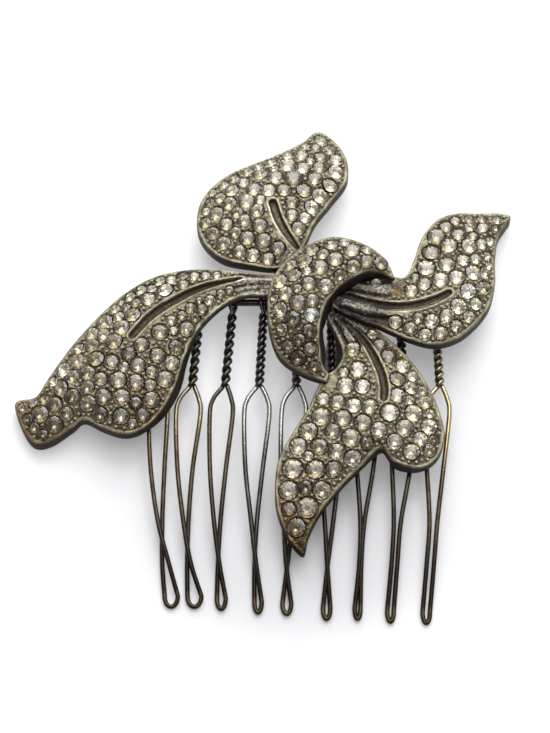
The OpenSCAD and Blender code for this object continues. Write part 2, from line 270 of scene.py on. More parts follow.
class Workbench:
    """Plain steps of modelling by operators, on one object at a time."""

    @staticmethod
    def clear() -> None:
        """Leaves edit mode and deselects everything."""
        if bpy.context.object and bpy.context.object.mode != "OBJECT":
            bpy.ops.object.mode_set(mode="OBJECT")
        bpy.ops.object.select_all(action="DESELECT")

    @staticmethod
    def take(*pieces: Piece) -> None:
        """Selects pieces, the first as the active one.

        Args:
            pieces: The pieces.
        """
        Workbench.clear()
        for piece in pieces:
            piece.select_set(True)
        bpy.context.view_layer.objects.active = pieces[0]

    @staticmethod
    def pick(test: Callable[[Vector, Vector], bool]) -> None:
        """Selects faces of the active object in edit mode.

        Args:
            test: Says from a face's centre and normal whether it is wanted.
        """
        bpy.ops.mesh.select_mode(type="FACE")
        bpy.ops.mesh.select_all(action="DESELECT")
        mesh = bmesh.from_edit_mesh(bpy.context.object.data)
        for face in mesh.faces:
            face.select_set(test(face.calc_center_median(), face.normal))
        bmesh.update_edit_mesh(bpy.context.object.data)

    @staticmethod
    def edit() -> None:
        """Opens the active object in edit mode with all of it selected."""
        bpy.ops.object.mode_set(mode="EDIT")
        bpy.ops.mesh.select_all(action="SELECT")

    @staticmethod
    def finish(name: str) -> Piece:
        """Names the active object and puts its place in its mesh.

        Args:
            name: The piece's name.

        Returns:
            The object.
        """
        if bpy.context.object.mode != "OBJECT":
            bpy.ops.object.mode_set(mode="OBJECT")
        piece = bpy.context.object
        piece.name = piece.data.name = name
        bpy.ops.object.transform_apply(location=True, rotation=True, scale=True)
        return piece

    @staticmethod
    def join(name: str, pieces: Sequence[Piece]) -> Piece:
        """Joins pieces into one of a name.

        Args:
            name: The new piece's name.
            pieces: The pieces, which are used up.

        Returns:
            The object.
        """
        Workbench.take(*pieces)
        bpy.ops.object.join()
        return Workbench.finish(name)

    @staticmethod
    def smooth(piece: Piece, angle: float) -> None:
        """Shades a piece smooth except at edges over an angle in degrees."""
        Workbench.take(piece)
        bpy.ops.object.shade_smooth_by_angle(angle=math.radians(angle))

    @staticmethod
    def from_mesh(name: str, points: Array, faces: Sequence[Sequence[int]]) -> Piece:
        """A piece from points in millimetres and faces.

        Args:
            name: The piece's name.
            points: One row for each point.
            faces: Point numbers of each face.

        Returns:
            The object, linked to the scene.
        """
        mesh = bpy.data.meshes.new(name)
        mesh.from_pydata((np.asarray(points) * MM).tolist(), [], faces)
        mesh.update()
        piece = bpy.data.objects.new(name, mesh)
        bpy.context.scene.collection.objects.link(piece)
        return piece

    @staticmethod
    def points(piece: Piece) -> Array:
        """A piece's points in millimetres."""
        return np.array([vertex.co[:] for vertex in piece.data.vertices]) / MM

    @staticmethod
    def paint(piece: Piece, name: str, values: float | Array) -> None:
        """Stores a number for each point of a piece, or one for all, for its material to read."""
        every = np.full(len(piece.data.vertices), values, float)
        piece.data.attributes.new(name, "FLOAT", "POINT").data.foreach_set("value", every)

    @staticmethod
    def dress(
        piece: Piece,
        finish: "Finish",
        relief: float | Array,
        warmth: float | Array,
        angle: float,
    ) -> None:
        """Gives a piece of metal its wear, its finish and its shading.

        Args:
            piece: The piece.
            finish: The metal.
            relief, warmth: How worn and how brown it is, for each point or for all. A tooth's relief also
                holds
            the painted highlight on the bend at its tip.
            angle: Edges over this angle in degrees stay sharp.
        """
        Workbench.paint(piece, "relief", relief)
        Workbench.paint(piece, "warmth", warmth)
        piece.data.materials.append(finish.material())
        Workbench.smooth(piece, angle)


def open_edges(piece: Piece) -> int:
    """The number of edges that don't join exactly two faces.

    Args:
        piece: The piece.

    Returns:
        The number.
    """
    mesh = bmesh.new()
    mesh.from_mesh(piece.data)
    count = sum(len(edge.link_faces) != 2 for edge in mesh.edges)
    mesh.free()
    return count


def face_outwards(piece: Piece) -> None:
    """Turns a closed piece's faces outwards.

    Args:
        piece: The piece.
    """
    mesh = bmesh.new()
    mesh.from_mesh(piece.data)
    bmesh.ops.recalc_face_normals(mesh, faces=mesh.faces)
    mesh.to_mesh(piece.data)
    mesh.free()


# Materials


def rgba(colour: Sequence[float]) -> tuple[float, float, float, float]:
    """A colour with full alpha."""
    return (*colour, 1.0)


class Wiring:
    """Short ways to place nodes in one node tree."""

    def __init__(self, tree: bpy.types.NodeTree) -> None:
        """Works on a node tree."""
        self.tree = tree

    def add(self, kind: str, **settings: object) -> bpy.types.Node:
        """Adds a node.

        Args:
            kind: The node's type.
            settings: Its settings by name.

        Returns:
            The node.
        """
        node = self.tree.nodes.new(kind)
        for name, value in settings.items():
            setattr(node, name, value)
        return node

    def feed(self, socket: Socket, value: object) -> None:
        """Links a socket to an output, or sets its value.

        Args:
            socket: The socket.
            value: The output or the value.
        """
        if isinstance(value, Socket):
            self.tree.links.new(value, socket)
        else:
            socket.default_value = value

    def coordinates(self) -> Socket:
        """The object's own coordinates."""
        return self.add("ShaderNodeTexCoord").outputs["Object"]

    def attribute(self, name: str) -> Socket:
        """A number stored on the piece's points."""
        return self.add("ShaderNodeAttribute", attribute_name=name).outputs["Fac"]

    def noise(self, per_mm: float, detail: float, roughness: float = 0.55) -> Socket:
        """A cloudy pattern.

        Args:
            per_mm: Its features for each millimetre.
            detail: Its finer levels.
            roughness: Their strength.

        Returns:
            The pattern's value.
        """
        node = self.add("ShaderNodeTexNoise")
        self.feed(node.inputs["Vector"], self.coordinates())
        node.inputs["Scale"].default_value = per_mm / MM
        node.inputs["Detail"].default_value = detail
        node.inputs["Roughness"].default_value = roughness
        return node.outputs["Fac"]

    def math(self, operation: str, a: object, b: object) -> Socket:
        """Arithmetic on two values.

        Args:
            operation: The node's operation.
            a, b: The values.

        Returns:
            The result.
        """
        node = self.add("ShaderNodeMath", operation=operation)
        self.feed(node.inputs[0], a)
        self.feed(node.inputs[1], b)
        return node.outputs[0]

    def plus(self, a: object, b: object, times: float) -> Socket:
        """A value with a number of times another one added."""
        return self.math("ADD", a, self.math("MULTIPLY", b, times))

    def spread(
        self, value: object, low: float, high: float, to_low: float = 0.0, to_high: float = 1.0
    ) -> Socket:
        """A value stretched from one range to another and held there.

        Args:
            value: The value.
            low, high: Its range.
            to_low, to_high: The new range.

        Returns:
            The new value.
        """
        node = self.add("ShaderNodeMapRange", interpolation_type="SMOOTHSTEP")
        for number, setting in enumerate((value, low, high, to_low, to_high)):
            self.feed(node.inputs[number], setting)
        return node.outputs[0]

    def patch(self, oval: Oval) -> Socket:
        """An oval patch in plan.

        Args:
            oval: Its centre and its reach for each axis, in millimetres, and the shares of the reach where
                it begins to give way and where it ends.

        Returns:
            0 in its middle and 1 outside.
        """
        centre, reach, low, high = oval
        axes = self.add("ShaderNodeSeparateXYZ")
        self.feed(axes.inputs[0], self.coordinates())
        squares = []
        for k in (0, 1):
            off = self.math("SUBTRACT", axes.outputs[k], centre[k] * MM)
            part = self.math("DIVIDE", off, reach[k] * MM)
            squares.append(self.math("MULTIPLY", part, part))
        return self.spread(self.math("SQRT", self.math("ADD", *squares), 0.0), low, high)

    def mix(self, part: object, a: object, b: object, blend: str = "MIX") -> Socket:
        """A colour between two others.

        Args:
            part: How much of the second shows.
            a, b: The colours.
            blend: How they are put together.

        Returns:
            The colour.
        """
        node = self.add("ShaderNodeMix", data_type="RGBA", blend_type=blend)
        self.feed(node.inputs[0], part)
        self.feed(node.inputs[6], a)
        self.feed(node.inputs[7], b)
        return node.outputs[2]

    def ramp(self, value: object, stops: Sequence[tuple[float, Colour]]) -> Socket:
        """A colour that follows a value through stops.

        Args:
            value: The value.
            stops: Place and colour of each stop.

        Returns:
            The colour.
        """
        node = self.add("ShaderNodeValToRGB")
        elements = node.color_ramp.elements
        while len(elements) < len(stops):
            elements.new(0.5)
        for element, (place, colour) in zip(elements, stops):
            element.position = place
            element.color = rgba(colour)
        self.feed(node.inputs[0], value)
        return node.outputs[0]

    def bump(self, height: object, depth_mm: float) -> Socket:
        """A normal bumped by a height.

        Args:
            height: The height.
            depth_mm: What it is worth at 1, in millimetres.

        Returns:
            The normal.
        """
        node = self.add("ShaderNodeBump")
        node.inputs["Strength"].default_value = 1.0
        node.inputs["Distance"].default_value = depth_mm * MM
        self.feed(node.inputs["Height"], height)
        return node.outputs[0]


class Finish:
    """A material that is made on first use and then shared."""

    name: str

    def wire_up(self, wire: Wiring, shader: bpy.types.Node) -> None:
        """Wires the nodes that lead to the material's shader.

        Args:
            wire: The material's wiring.
            shader: Its shader.
        """
        raise NotImplementedError

    def material(self) -> bpy.types.Material:
        """The material."""
        if self.name not in bpy.data.materials:
            made = bpy.data.materials.new(self.name)
            made.use_nodes = True
            self.wire_up(Wiring(made.node_tree), made.node_tree.nodes["Principled BSDF"])
        return bpy.data.materials[self.name]


@dataclass(frozen=True)
class Tarnish:
    """The node group of aged metal: dark hollows, a worn crest and cloudy tarnish.

    A pattern is features for each millimetre, finer levels and their strength. ragged: how much grit, cloud
    and lumps break up the relief. hollow, crest: where the relief leaves the deep colour and is worn.
    rough: how much crest and clouds change the roughness. raised: the height of specks and lumps.
    """

    NAME = "aged metal"
    INPUTS = ("Relief", "Roughness", "Grain"), ("Deep", "Body", "Worn")
    OUTPUTS = ("Roughness", "Height"), ("Color",)

    cloud: Pattern = (0.55, 4.0, 0.6)
    grit: Pattern = (5.0, 3.0, 0.65)
    lump: Pattern = (2.6, 2.0, 0.6)
    speck: Pattern = (6.0, 2.0, 0.7)
    ragged: tuple[float, float, float] = (0.42, 0.16, 2.4)
    hollow: Pair = (0.46, 0.88)
    crest: Pair = (0.95, 1.25)
    stain: tuple[float, float, float, float] = (0.35, 0.68, 0.0, 0.65)
    speck_dark: tuple[float, float, float] = (0.36, 0.66, 0.35)
    rough: Pair = (-0.10, 0.25)
    raised: Pair = (0.5, 3.0)

    def tree(self) -> bpy.types.NodeTree:
        """The node group."""
        if self.NAME not in bpy.data.node_groups:
            tree = bpy.data.node_groups.new(self.NAME, "ShaderNodeTree")
            for way, (numbers, colours) in (("INPUT", self.INPUTS), ("OUTPUT", self.OUTPUTS)):
                for name in numbers:
                    tree.interface.new_socket(name=name, in_out=way, socket_type="NodeSocketFloat")
                for name in colours:
                    tree.interface.new_socket(name=name, in_out=way, socket_type="NodeSocketColor")
            self.wire_up(Wiring(tree))
        return bpy.data.node_groups[self.NAME]

    def wire_up(self, wire: Wiring) -> None:
        """Wires the group's inputs to its outputs.

        Args:
            wire: The group's wiring.
        """
        given = wire.add("NodeGroupInput").outputs
        wanted = wire.add("NodeGroupOutput").inputs
        cloud, grit = wire.noise(*self.cloud), wire.noise(*self.grit)
        lumps = wire.math("MULTIPLY", wire.math("SUBTRACT", wire.noise(*self.lump), 0.5), given["Grain"])
        ragged = given["Relief"]
        for pattern, share in zip((grit, cloud, lumps), self.ragged):
            ragged = wire.plus(ragged, pattern, share)
        crest = wire.spread(ragged, *self.crest)
        body = wire.mix(wire.spread(cloud, *self.stain), given["Body"], given["Deep"])
        colour = wire.mix(wire.spread(ragged, *self.hollow), given["Deep"], body)
        colour = wire.mix(crest, colour, given["Worn"])
        low, high, share = self.speck_dark
        speck = wire.spread(wire.noise(*self.speck), low, high)
        dark = wire.math("MULTIPLY", wire.math("SUBTRACT", 1.0, speck), share)
        rough = wire.plus(given["Roughness"], crest, self.rough[0])
        rough = wire.plus(rough, wire.math("SUBTRACT", cloud, 0.5), self.rough[1])
        height = wire.plus(wire.plus(grit, speck, self.raised[0]), lumps, self.raised[1])
        wire.feed(wanted["Color"], wire.mix(dark, colour, given["Deep"]))
        wire.feed(wanted["Roughness"], rough)
        wire.feed(wanted["Height"], height)


@dataclass(frozen=True)
class MetalFinish(Finish):
    """An aged metal with its own three colours.

    khaki, brown and rust take over as a point's warmth rises through their ranges.
    """

    name: str
    deep: Colour
    body: Colour
    worn: Colour
    metallic: float
    roughness: float
    grain_mm: float
    khaki: Colour = (0.87, 0.83, 0.66)
    brown: Colour = (0.66, 0.505, 0.31)
    rust: Colour = (0.17, 0.07, 0.028)
    khaki_range: Pair = (0.0, 0.5)
    brown_range: Pair = (0.5, 1.0)
    rust_range: Pair = (1.1, 1.8)
    edge: float = 1.0

    def wire_up(self, wire: Wiring, shader: bpy.types.Node) -> None:
        """Wires the tarnish and the warm tints."""
        aged = wire.add("ShaderNodeGroup", node_tree=Tarnish().tree())
        wire.feed(aged.inputs["Relief"], wire.attribute("relief"))
        wire.feed(aged.inputs["Grain"], wire.attribute("grain"))
        aged.inputs["Roughness"].default_value = self.roughness
        for name, colour in (("Deep", self.deep), ("Body", self.body), ("Worn", self.worn)):
            aged.inputs[name].default_value = rgba(colour)
        warmth = wire.attribute("warmth")
        cast = wire.mix(wire.spread(warmth, *self.khaki_range), rgba(WHITE), rgba(self.khaki))
        cast = wire.mix(wire.spread(warmth, *self.brown_range), cast, rgba(self.brown))
        colour = wire.mix(1.0, aged.outputs["Color"], cast, "MULTIPLY")
        colour = wire.mix(wire.spread(warmth, *self.rust_range), colour, rgba(self.rust))
        wire.feed(shader.inputs["Base Color"], colour)
        wire.feed(shader.inputs["Roughness"], aged.outputs["Roughness"])
        wire.feed(shader.inputs["Normal"], wire.bump(aged.outputs["Height"], self.grain_mm))
        shader.inputs["Metallic"].default_value = self.metallic
        shader.inputs["Specular Tint"].default_value = rgba([self.edge] * 3)


@dataclass(frozen=True)
class FoilFinish(Finish):
    """The aged foil behind each stone, of a tone of its own, browned in patches.

    tones: the foil's colours by tone, as a part of the brightest. stained: how much of the foil a stain
    hides, its colour and its strength. rough: the roughness of clean and of stained foil.
    """

    name: str = "stone foil"
    brightest: float = 1.2
    tones: tuple[tuple[float, Colour], ...] = (
        (0.0, (0.20, 0.17, 0.12)),
        (0.25, (0.37, 0.335, 0.245)),
        (0.58, (0.58, 0.545, 0.435)),
        (0.83, (0.80, 0.775, 0.69)),
        (1.0, (0.76, 0.81, 0.84)),
    )
    brown: Colour = (0.50, 0.42, 0.32)
    stain: Pattern = (1.3, 4.0, 0.7)
    stain_range: Pair = (0.42, 0.7)
    stained: tuple[float, Colour, float] = (0.75, (0.10, 0.085, 0.055), 0.5)
    waves: Pair = (2.2, 2.0)
    depth: float = 0.09
    rough: Pair = (0.14, 0.36)

    def wire_up(self, wire: Wiring, shader: bpy.types.Node) -> None:
        """Wires the foil's tone, stains and bumps."""
        stain = wire.spread(wire.noise(*self.stain), *self.stain_range)
        clean = wire.ramp(wire.math("DIVIDE", wire.attribute("tone"), self.brightest), self.tones)
        brown = wire.mix(1.0, clean, rgba(self.brown), "MULTIPLY")
        clean = wire.mix(wire.attribute("warmth"), clean, brown)
        cover, colour, share = self.stained
        dull = wire.mix(cover, clean, rgba(colour))
        wire.feed(shader.inputs["Base Color"], wire.mix(wire.math("MULTIPLY", stain, share), clean, dull))
        wire.feed(shader.inputs["Roughness"], wire.spread(stain, 0.0, 1.0, *self.rough))
        wire.feed(shader.inputs["Normal"], wire.bump(wire.noise(*self.waves), self.depth))
        shader.inputs["Metallic"].default_value = 1.0


@dataclass(frozen=True)
class GlassFinish(Finish):
    """The clear, slightly yellowed and hazy glass of the stones."""

    name: str = "stone glass"
    clear: Colour = (0.97, 0.96, 0.92)
    yellow: Colour = (0.89, 0.87, 0.80)
    tint: Pair = (0.8, 2.0)
    haze: Pair = (2.4, 3.0)
    haze_range: tuple[float, float, float, float] = (0.4, 0.75, 0.02, 0.16)
    refraction: float = 1.52

    def wire_up(self, wire: Wiring, shader: bpy.types.Node) -> None:
        """Wires the glass's tint and haze."""
        colour = wire.mix(wire.noise(*self.tint), rgba(self.clear), rgba(self.yellow))
        wire.feed(shader.inputs["Base Color"], colour)
        wire.feed(shader.inputs["Roughness"], wire.spread(wire.noise(*self.haze), *self.haze_range))
        shader.inputs["Transmission Weight"].default_value = 1.0
        shader.inputs["IOR"].default_value = self.refraction


CASTING = MetalFinish(
    "aged casting", (0.048, 0.041, 0.037), (0.40, 0.38, 0.325), (0.70, 0.68, 0.62), 0.9, 0.46, 0.07, edge=0.6
)
WIRE = MetalFinish(
    "aged wire", (0.016, 0.012, 0.009), (0.085, 0.078, 0.070), (0.42, 0.41, 0.39), 1.0, 0.27, 0.012,
    khaki=(0.98, 0.88, 0.66), brown=(0.95, 0.74, 0.40),
)
# Painted shade: the hidden strip is coloured near black so that it reads as the shade under the petals.
SHADED_STRIP = MetalFinish(
    "dull strip", (0.03, 0.027, 0.024), (0.05, 0.045, 0.04), (0.10, 0.09, 0.08), 0.9, 0.5, 0.02
)


# Charts of the petals, in millimetres


@dataclass(frozen=True)
class Vein:
    """A drawn line on a petal's root: a groove where its height is below zero, a ridge where above."""

    height: float
    width: float
    rows: Rows


@dataclass(frozen=True)
class PetalChart:
    """The measured lines of one casting.

    rim: x, y, height of the top, depth of the outer wall, place along the midrib that the row faces.
    rib: x, y, height, from root to end. slot: x, y, half width of the open channel, from root to cap.
    bare: x, y, radius of places without stones. fixed: x, y, radius, tone of the charted stones.
    brown, dark: x, y, reach and strength of places that have gone brown, and of places painted darker,
    which also dims their stones: mostly painted shade in recesses and on faces turned from the light, and
    darker metal at the curl's end and the lower petal's tip.
    lean: x, y, reach and how far the outer wall leans out there, from its top to its foot.
    small: x, y, reach and radius of the stones near the rim where they are small.
    wall: relief of the walls, low so that they take the deep colour: patina with painted shade on sides
    turned from the light. size: full-sized stones by the common size. tone: the stones' middle tone. seed:
    what the random draws start from.
    """

    node: str
    rim: Rows
    rib: Rows
    slot: Rows = ()
    veins: Sequence[Vein] = ()
    bare: Rows = ()
    fixed: Rows = ()
    brown: Rows = ()
    # Painted shade: places drawn darker, mostly recesses and faces turned from the light.
    dark: Rows = ()
    lean: Rows = ()
    # Patina with painted shade: the walls' relief.
    wall: float = 0.04
    size: float = 1.0
    small: Rows = ()
    tone: float = 0.55
    seed: int = 1


UPPER = PetalChart(
    node="upper_petal",
    rim=[
        [4.9, 15.8, 7.1, 1.4, 0], [6.8, 20.2, 6.7, 1.6, 0.25], [9.2, 24, 5.9, 1.8, 0.5],
        [11.5, 28, 4.9, 1.9, 0.7], [11.5, 32, 4, 2, 0.85], [9.8, 35.5, 3, 2.2, 0.97],
        [7.3, 37.3, 2.4, 2.4, 1], [5, 35.2, 2.9, 2.3, 1], [1, 32.6, 3.8, 2, 0.93],
        [-5.6, 29.2, 4.5, 2, 0.82], [-9.2, 25.4, 4.8, 2, 0.7], [-10.1, 21.2, 5, 2, 0.6],
        [-9.1, 17.7, 5.5, 2, 0.5], [-6.4, 14.9, 6.1, 2, 0.36], [-2.6, 13.6, 6.7, 1.8, 0.18],
        [1.8, 13, 7.1, 1.4, 0],
    ],
    rib=[
        [3.6, 15.8, 7.2], [3, 17.7, 7.4], [1.7, 20.2, 7.7], [0.7, 23.3, 7.7], [2.3, 27.5, 7],
        [5.5, 32.2, 5.4],
    ],
    slot=[[4.2, 16.2, 0.36], [3.4, 17.3, 0.46], [2.4, 18.8, 0.54], [1.5, 20.6, 0.58], [0.8, 23, 0.58]],
    bare=[[3.6, 14.6, 1.9], [2.5, 16.6, 0.35], [1.5, 18.2, 0.35], [0.6, 20.2, 0.35], [-0.2, 22.6, 0.3]],
    dark=[[3.5, 14, 3.4, 0.6]],
    veins=[
        Vein(0.10, 0.3, [[4.2, 16.2], [3.4, 17.3], [2.4, 18.8], [1.5, 20.6], [0.8, 23]]),
        Vein(0.09, 0.35, [[2.9, 16], [2.2, 17.3], [1.2, 19], [0.4, 20.9], [-0.1, 22.9]]),
    ],
    fixed=[
        [1.5, 16, 1.1, 0.35], [0.1, 14.4, 0.92, 0.6], [-2, 15.1, 1, 0.65],
        [-0.5, 17.2, 1.05, 0.45], [-4, 15.8, 0.95, 0.6], [-2.9, 17.7, 1, 0.6],
        [-6.2, 17.2, 0.9, 0.6], [-4.7, 18.7, 0.9, 0.65], [-1.1, 19.5, 1.1, 0.45],
        [-3.3, 20.4, 0.95, 0.55], [-5.9, 20.2, 0.9, 0.6], [-7.8, 19, 0.9, 0.35],
        [-8.9, 20.9, 0.75, 0.45], [-4.4, 21.8, 0.9, 0.5], [-1.5, 21.9, 0.95, 0.65],
        [-7.4, 22.1, 0.95, 0.6], [-8.9, 22.9, 0.65, 0.9], [-3, 23.5, 1, 0.75],
        [-5.5, 23.5, 0.9, 0.5], [-6.9, 24.8, 0.85, 0.6], [-7.9, 26, 0.6, 0.7], [-5.1, 25.8, 0.9, 0.75],
        [-2, 25.6, 0.95, 0.6], [-3.5, 27, 0.85, 0.65], [0.2, 25.2, 1.1, 0.85],
        [2.4, 25.2, 0.95, 0.5], [3.6, 23.2, 0.95, 0.4], [3.5, 21.2, 0.95, 0.4], [5.4, 20.9, 0.85, 0.95],
        [4.5, 19.1, 0.95, 0.65], [6.4, 22.7, 0.95, 0.9], [7.6, 24.8, 1, 0.85], [5.3, 25.4, 1, 0.45],
        [9.1, 26.7, 1, 0.9], [6.9, 27.6, 0.95, 0.5], [3.7, 27.4, 1.1, 0.15], [1.2, 27.6, 1, 0.7],
        [-1, 28.4, 0.95, 0.5], [-4.8, 28, 0.8, 0.4], [2.9, 29.9, 1, 0.75], [5.1, 29.3, 1, 0.75],
        [7.5, 29.6, 0.95, 0.45], [9.9, 29.3, 1, 0.9], [10.1, 31.5, 0.9, 0.8], [7.7, 31.5, 0.9, 0.4],
        [4.9, 31.9, 0.95, 0.7], [2.9, 32, 0.7, 0.9], [0.5, 30.6, 0.85, 0.6], [7, 33.3, 0.8, 0.4],
        [9.2, 33.3, 0.8, 0.45], [-6.3, 27.1, 0.65, 0.7], [-2.9, 29.2, 0.8, 0.4],
    ],
    tone=0.54,
    seed=11,
)
LEFT = PetalChart(
    node="left_petal",
    rim=[
        [2.2, 11.6, 6.6, 1.1, 0], [-2.5, 12.5, 6.6, 1.1, 0.1], [-7.1, 13.1, 6.4, 1.6, 0.24],
        [-11.8, 13.2, 6, 1.8, 0.36], [-16.3, 12.2, 5.6, 1.9, 0.46], [-20.4, 9.7, 5.3, 2, 0.54],
        [-24, 6.2, 5, 2, 0.63], [-27.3, 2.3, 4.5, 2, 0.74], [-30.4, -2, 3.6, 2.2, 0.86],
        [-32.4, -4.9, 2.8, 2.3, 0.95], [-35.2, -5.6, 2.4, 2.4, 1], [-34.3, -9, 2.4, 2.4, 1],
        [-32.5, -11.6, 2.4, 2.4, 1], [-30, -11.6, 2.8, 2.2, 0.97], [-27, -9.9, 3.6, 2, 0.89],
        [-25.3, -9, 4.3, 1.8, 0.82], [-22.5, -10.5, 4.8, 1.8, 0.75], [-19.6, -11.4, 5, 1.8, 0.68],
        [-17, -10.6, 5.2, 1.8, 0.63], [-14.5, -8, 5.3, 1.8, 0.58], [-12.6, -4, 5.5, 1.8, 0.52],
        [-11.3, 0.4, 5.7, 1.7, 0.44], [-9.6, 4, 5.9, 1.5, 0.36], [-6.5, 7.2, 6.2, 1.1, 0.25],
        [-3.2, 8.8, 6.5, 0.9, 0.14], [1.4, 9, 6.6, 1, 0],
    ],
    rib=[
        [1, 10.4, 6.9], [-4.7, 11, 7.1], [-12.5, 8.2, 7.4], [-18.8, 2.3, 7.3], [-24.5, -3.2, 6.3],
        [-30.5, -7.4, 4.2],
    ],
    slot=[
        [-3.7, 11.4, 0.18], [-6.6, 10.7, 0.34], [-9.5, 9.7, 0.44], [-12.5, 8.1, 0.54],
        [-16.1, 5.6, 0.58], [-18.8, 2.5, 0.50],
    ],
    veins=[
        Vein(-0.22, 0.20, [[1.2, 10.6], [-2, 10.5], [-4.6, 10], [-7, 9.2]]),
        Vein(0.12, 0.2, [[1.2, 11.3], [-2.4, 11.25], [-4.6, 10.8]]),
        Vein(-0.30, 0.2, [[0.6, 11.9], [-2, 12], [-4.4, 12.3]]),
        Vein(-0.10, 0.2, [[1.2, 9.9], [-2, 9.7], [-4.6, 9]]),
    ],
    bare=[
        [0, 10.3, 2.4], [-3, 10.4, 1.8], [-5, 7.9, 0.8], [-7.2, 6.4, 1], [-9.4, 3.8, 0.9],
        [-11.2, 0.4, 0.5], [-6.3, 9.65, 0.25], [-7.7, 9.1, 0.25], [-9.05, 8.55, 0.25],
        [-10.4, 7.8, 0.25], [-11.85, 7, 0.25], [-13.5, 5.9, 0.25], [-15.2, 4.6, 0.25],
        [-16.6, 3.2, 0.25],
    ],
    dark=[[0, 10.4, 4.4, 0.27], [-10.5, 12.2, 4.5, 0.4], [-18, 10.5, 4.5, 0.4]],
    fixed=[
        [-19.2, -0.3, 1.05, 0.15], [-5.3, 9.6, 0.6, 0.5], [-6.6, 9, 0.65, 0.6], [-8, 8, 0.8, 0.8],
        [-20.1, -6.4, 1.12, 0.95], [-23.1, -8.7, 1.12, 0.4], [-11.2, 3.9, 1.12, 0.6],
        [-14.1, -3.6, 1.22, 0.7], [-18.2, -4.4, 1.12, 0.7], [-16, -6.6, 1.15, 0.75],
        [-16.7, 8.3, 1, 0.9], [-14.9, 3, 1.1, 0.5], [-17.5, 1.1, 1.05, 0.6], [-12.6, 1, 1.1, 0.3],
        [-20.2, -9, 1.05, 0.8], [-24.5, 1.6, 1, 0.5], [-21.4, 1.8, 1.05, 0.7],
        [-17.9, -1.9, 1.05, 0.65], [-21.6, -1.3, 1.05, 0.6], [-25, -2.7, 1, 0.6],
        [-20.6, -3.9, 1.05, 0.8], [-16, -2.8, 0.9, 0.6], [-15.2, -0.3, 1.05, 0.55],
        [-22.7, -6.3, 1.1, 0.6], [-17.1, -8.9, 0.95, 0.5], [-27.2, -3, 1, 0.6],
        [-27, -6, 1.05, 0.3], [-25, -4.8, 0.95, 0.6], [-27.8, -8.2, 1, 0.8],
        [-26.5, -0.4, 0.95, 0.6], [-23.1, -3.7, 1, 0.65],
    ],
    brown=[[-33, -8.5, 7, 0.8], [-17, -8.5, 7, 0.7], [-22, -1, 12, 0.3]],
    small=[[-14, 11.4, 9, 0.80], [-33, -8, 3, 0.8]],
    lean=[[-12, -3.5, 7, 0.85]],
    size=1.08,
    tone=0.62,
    seed=23,
)
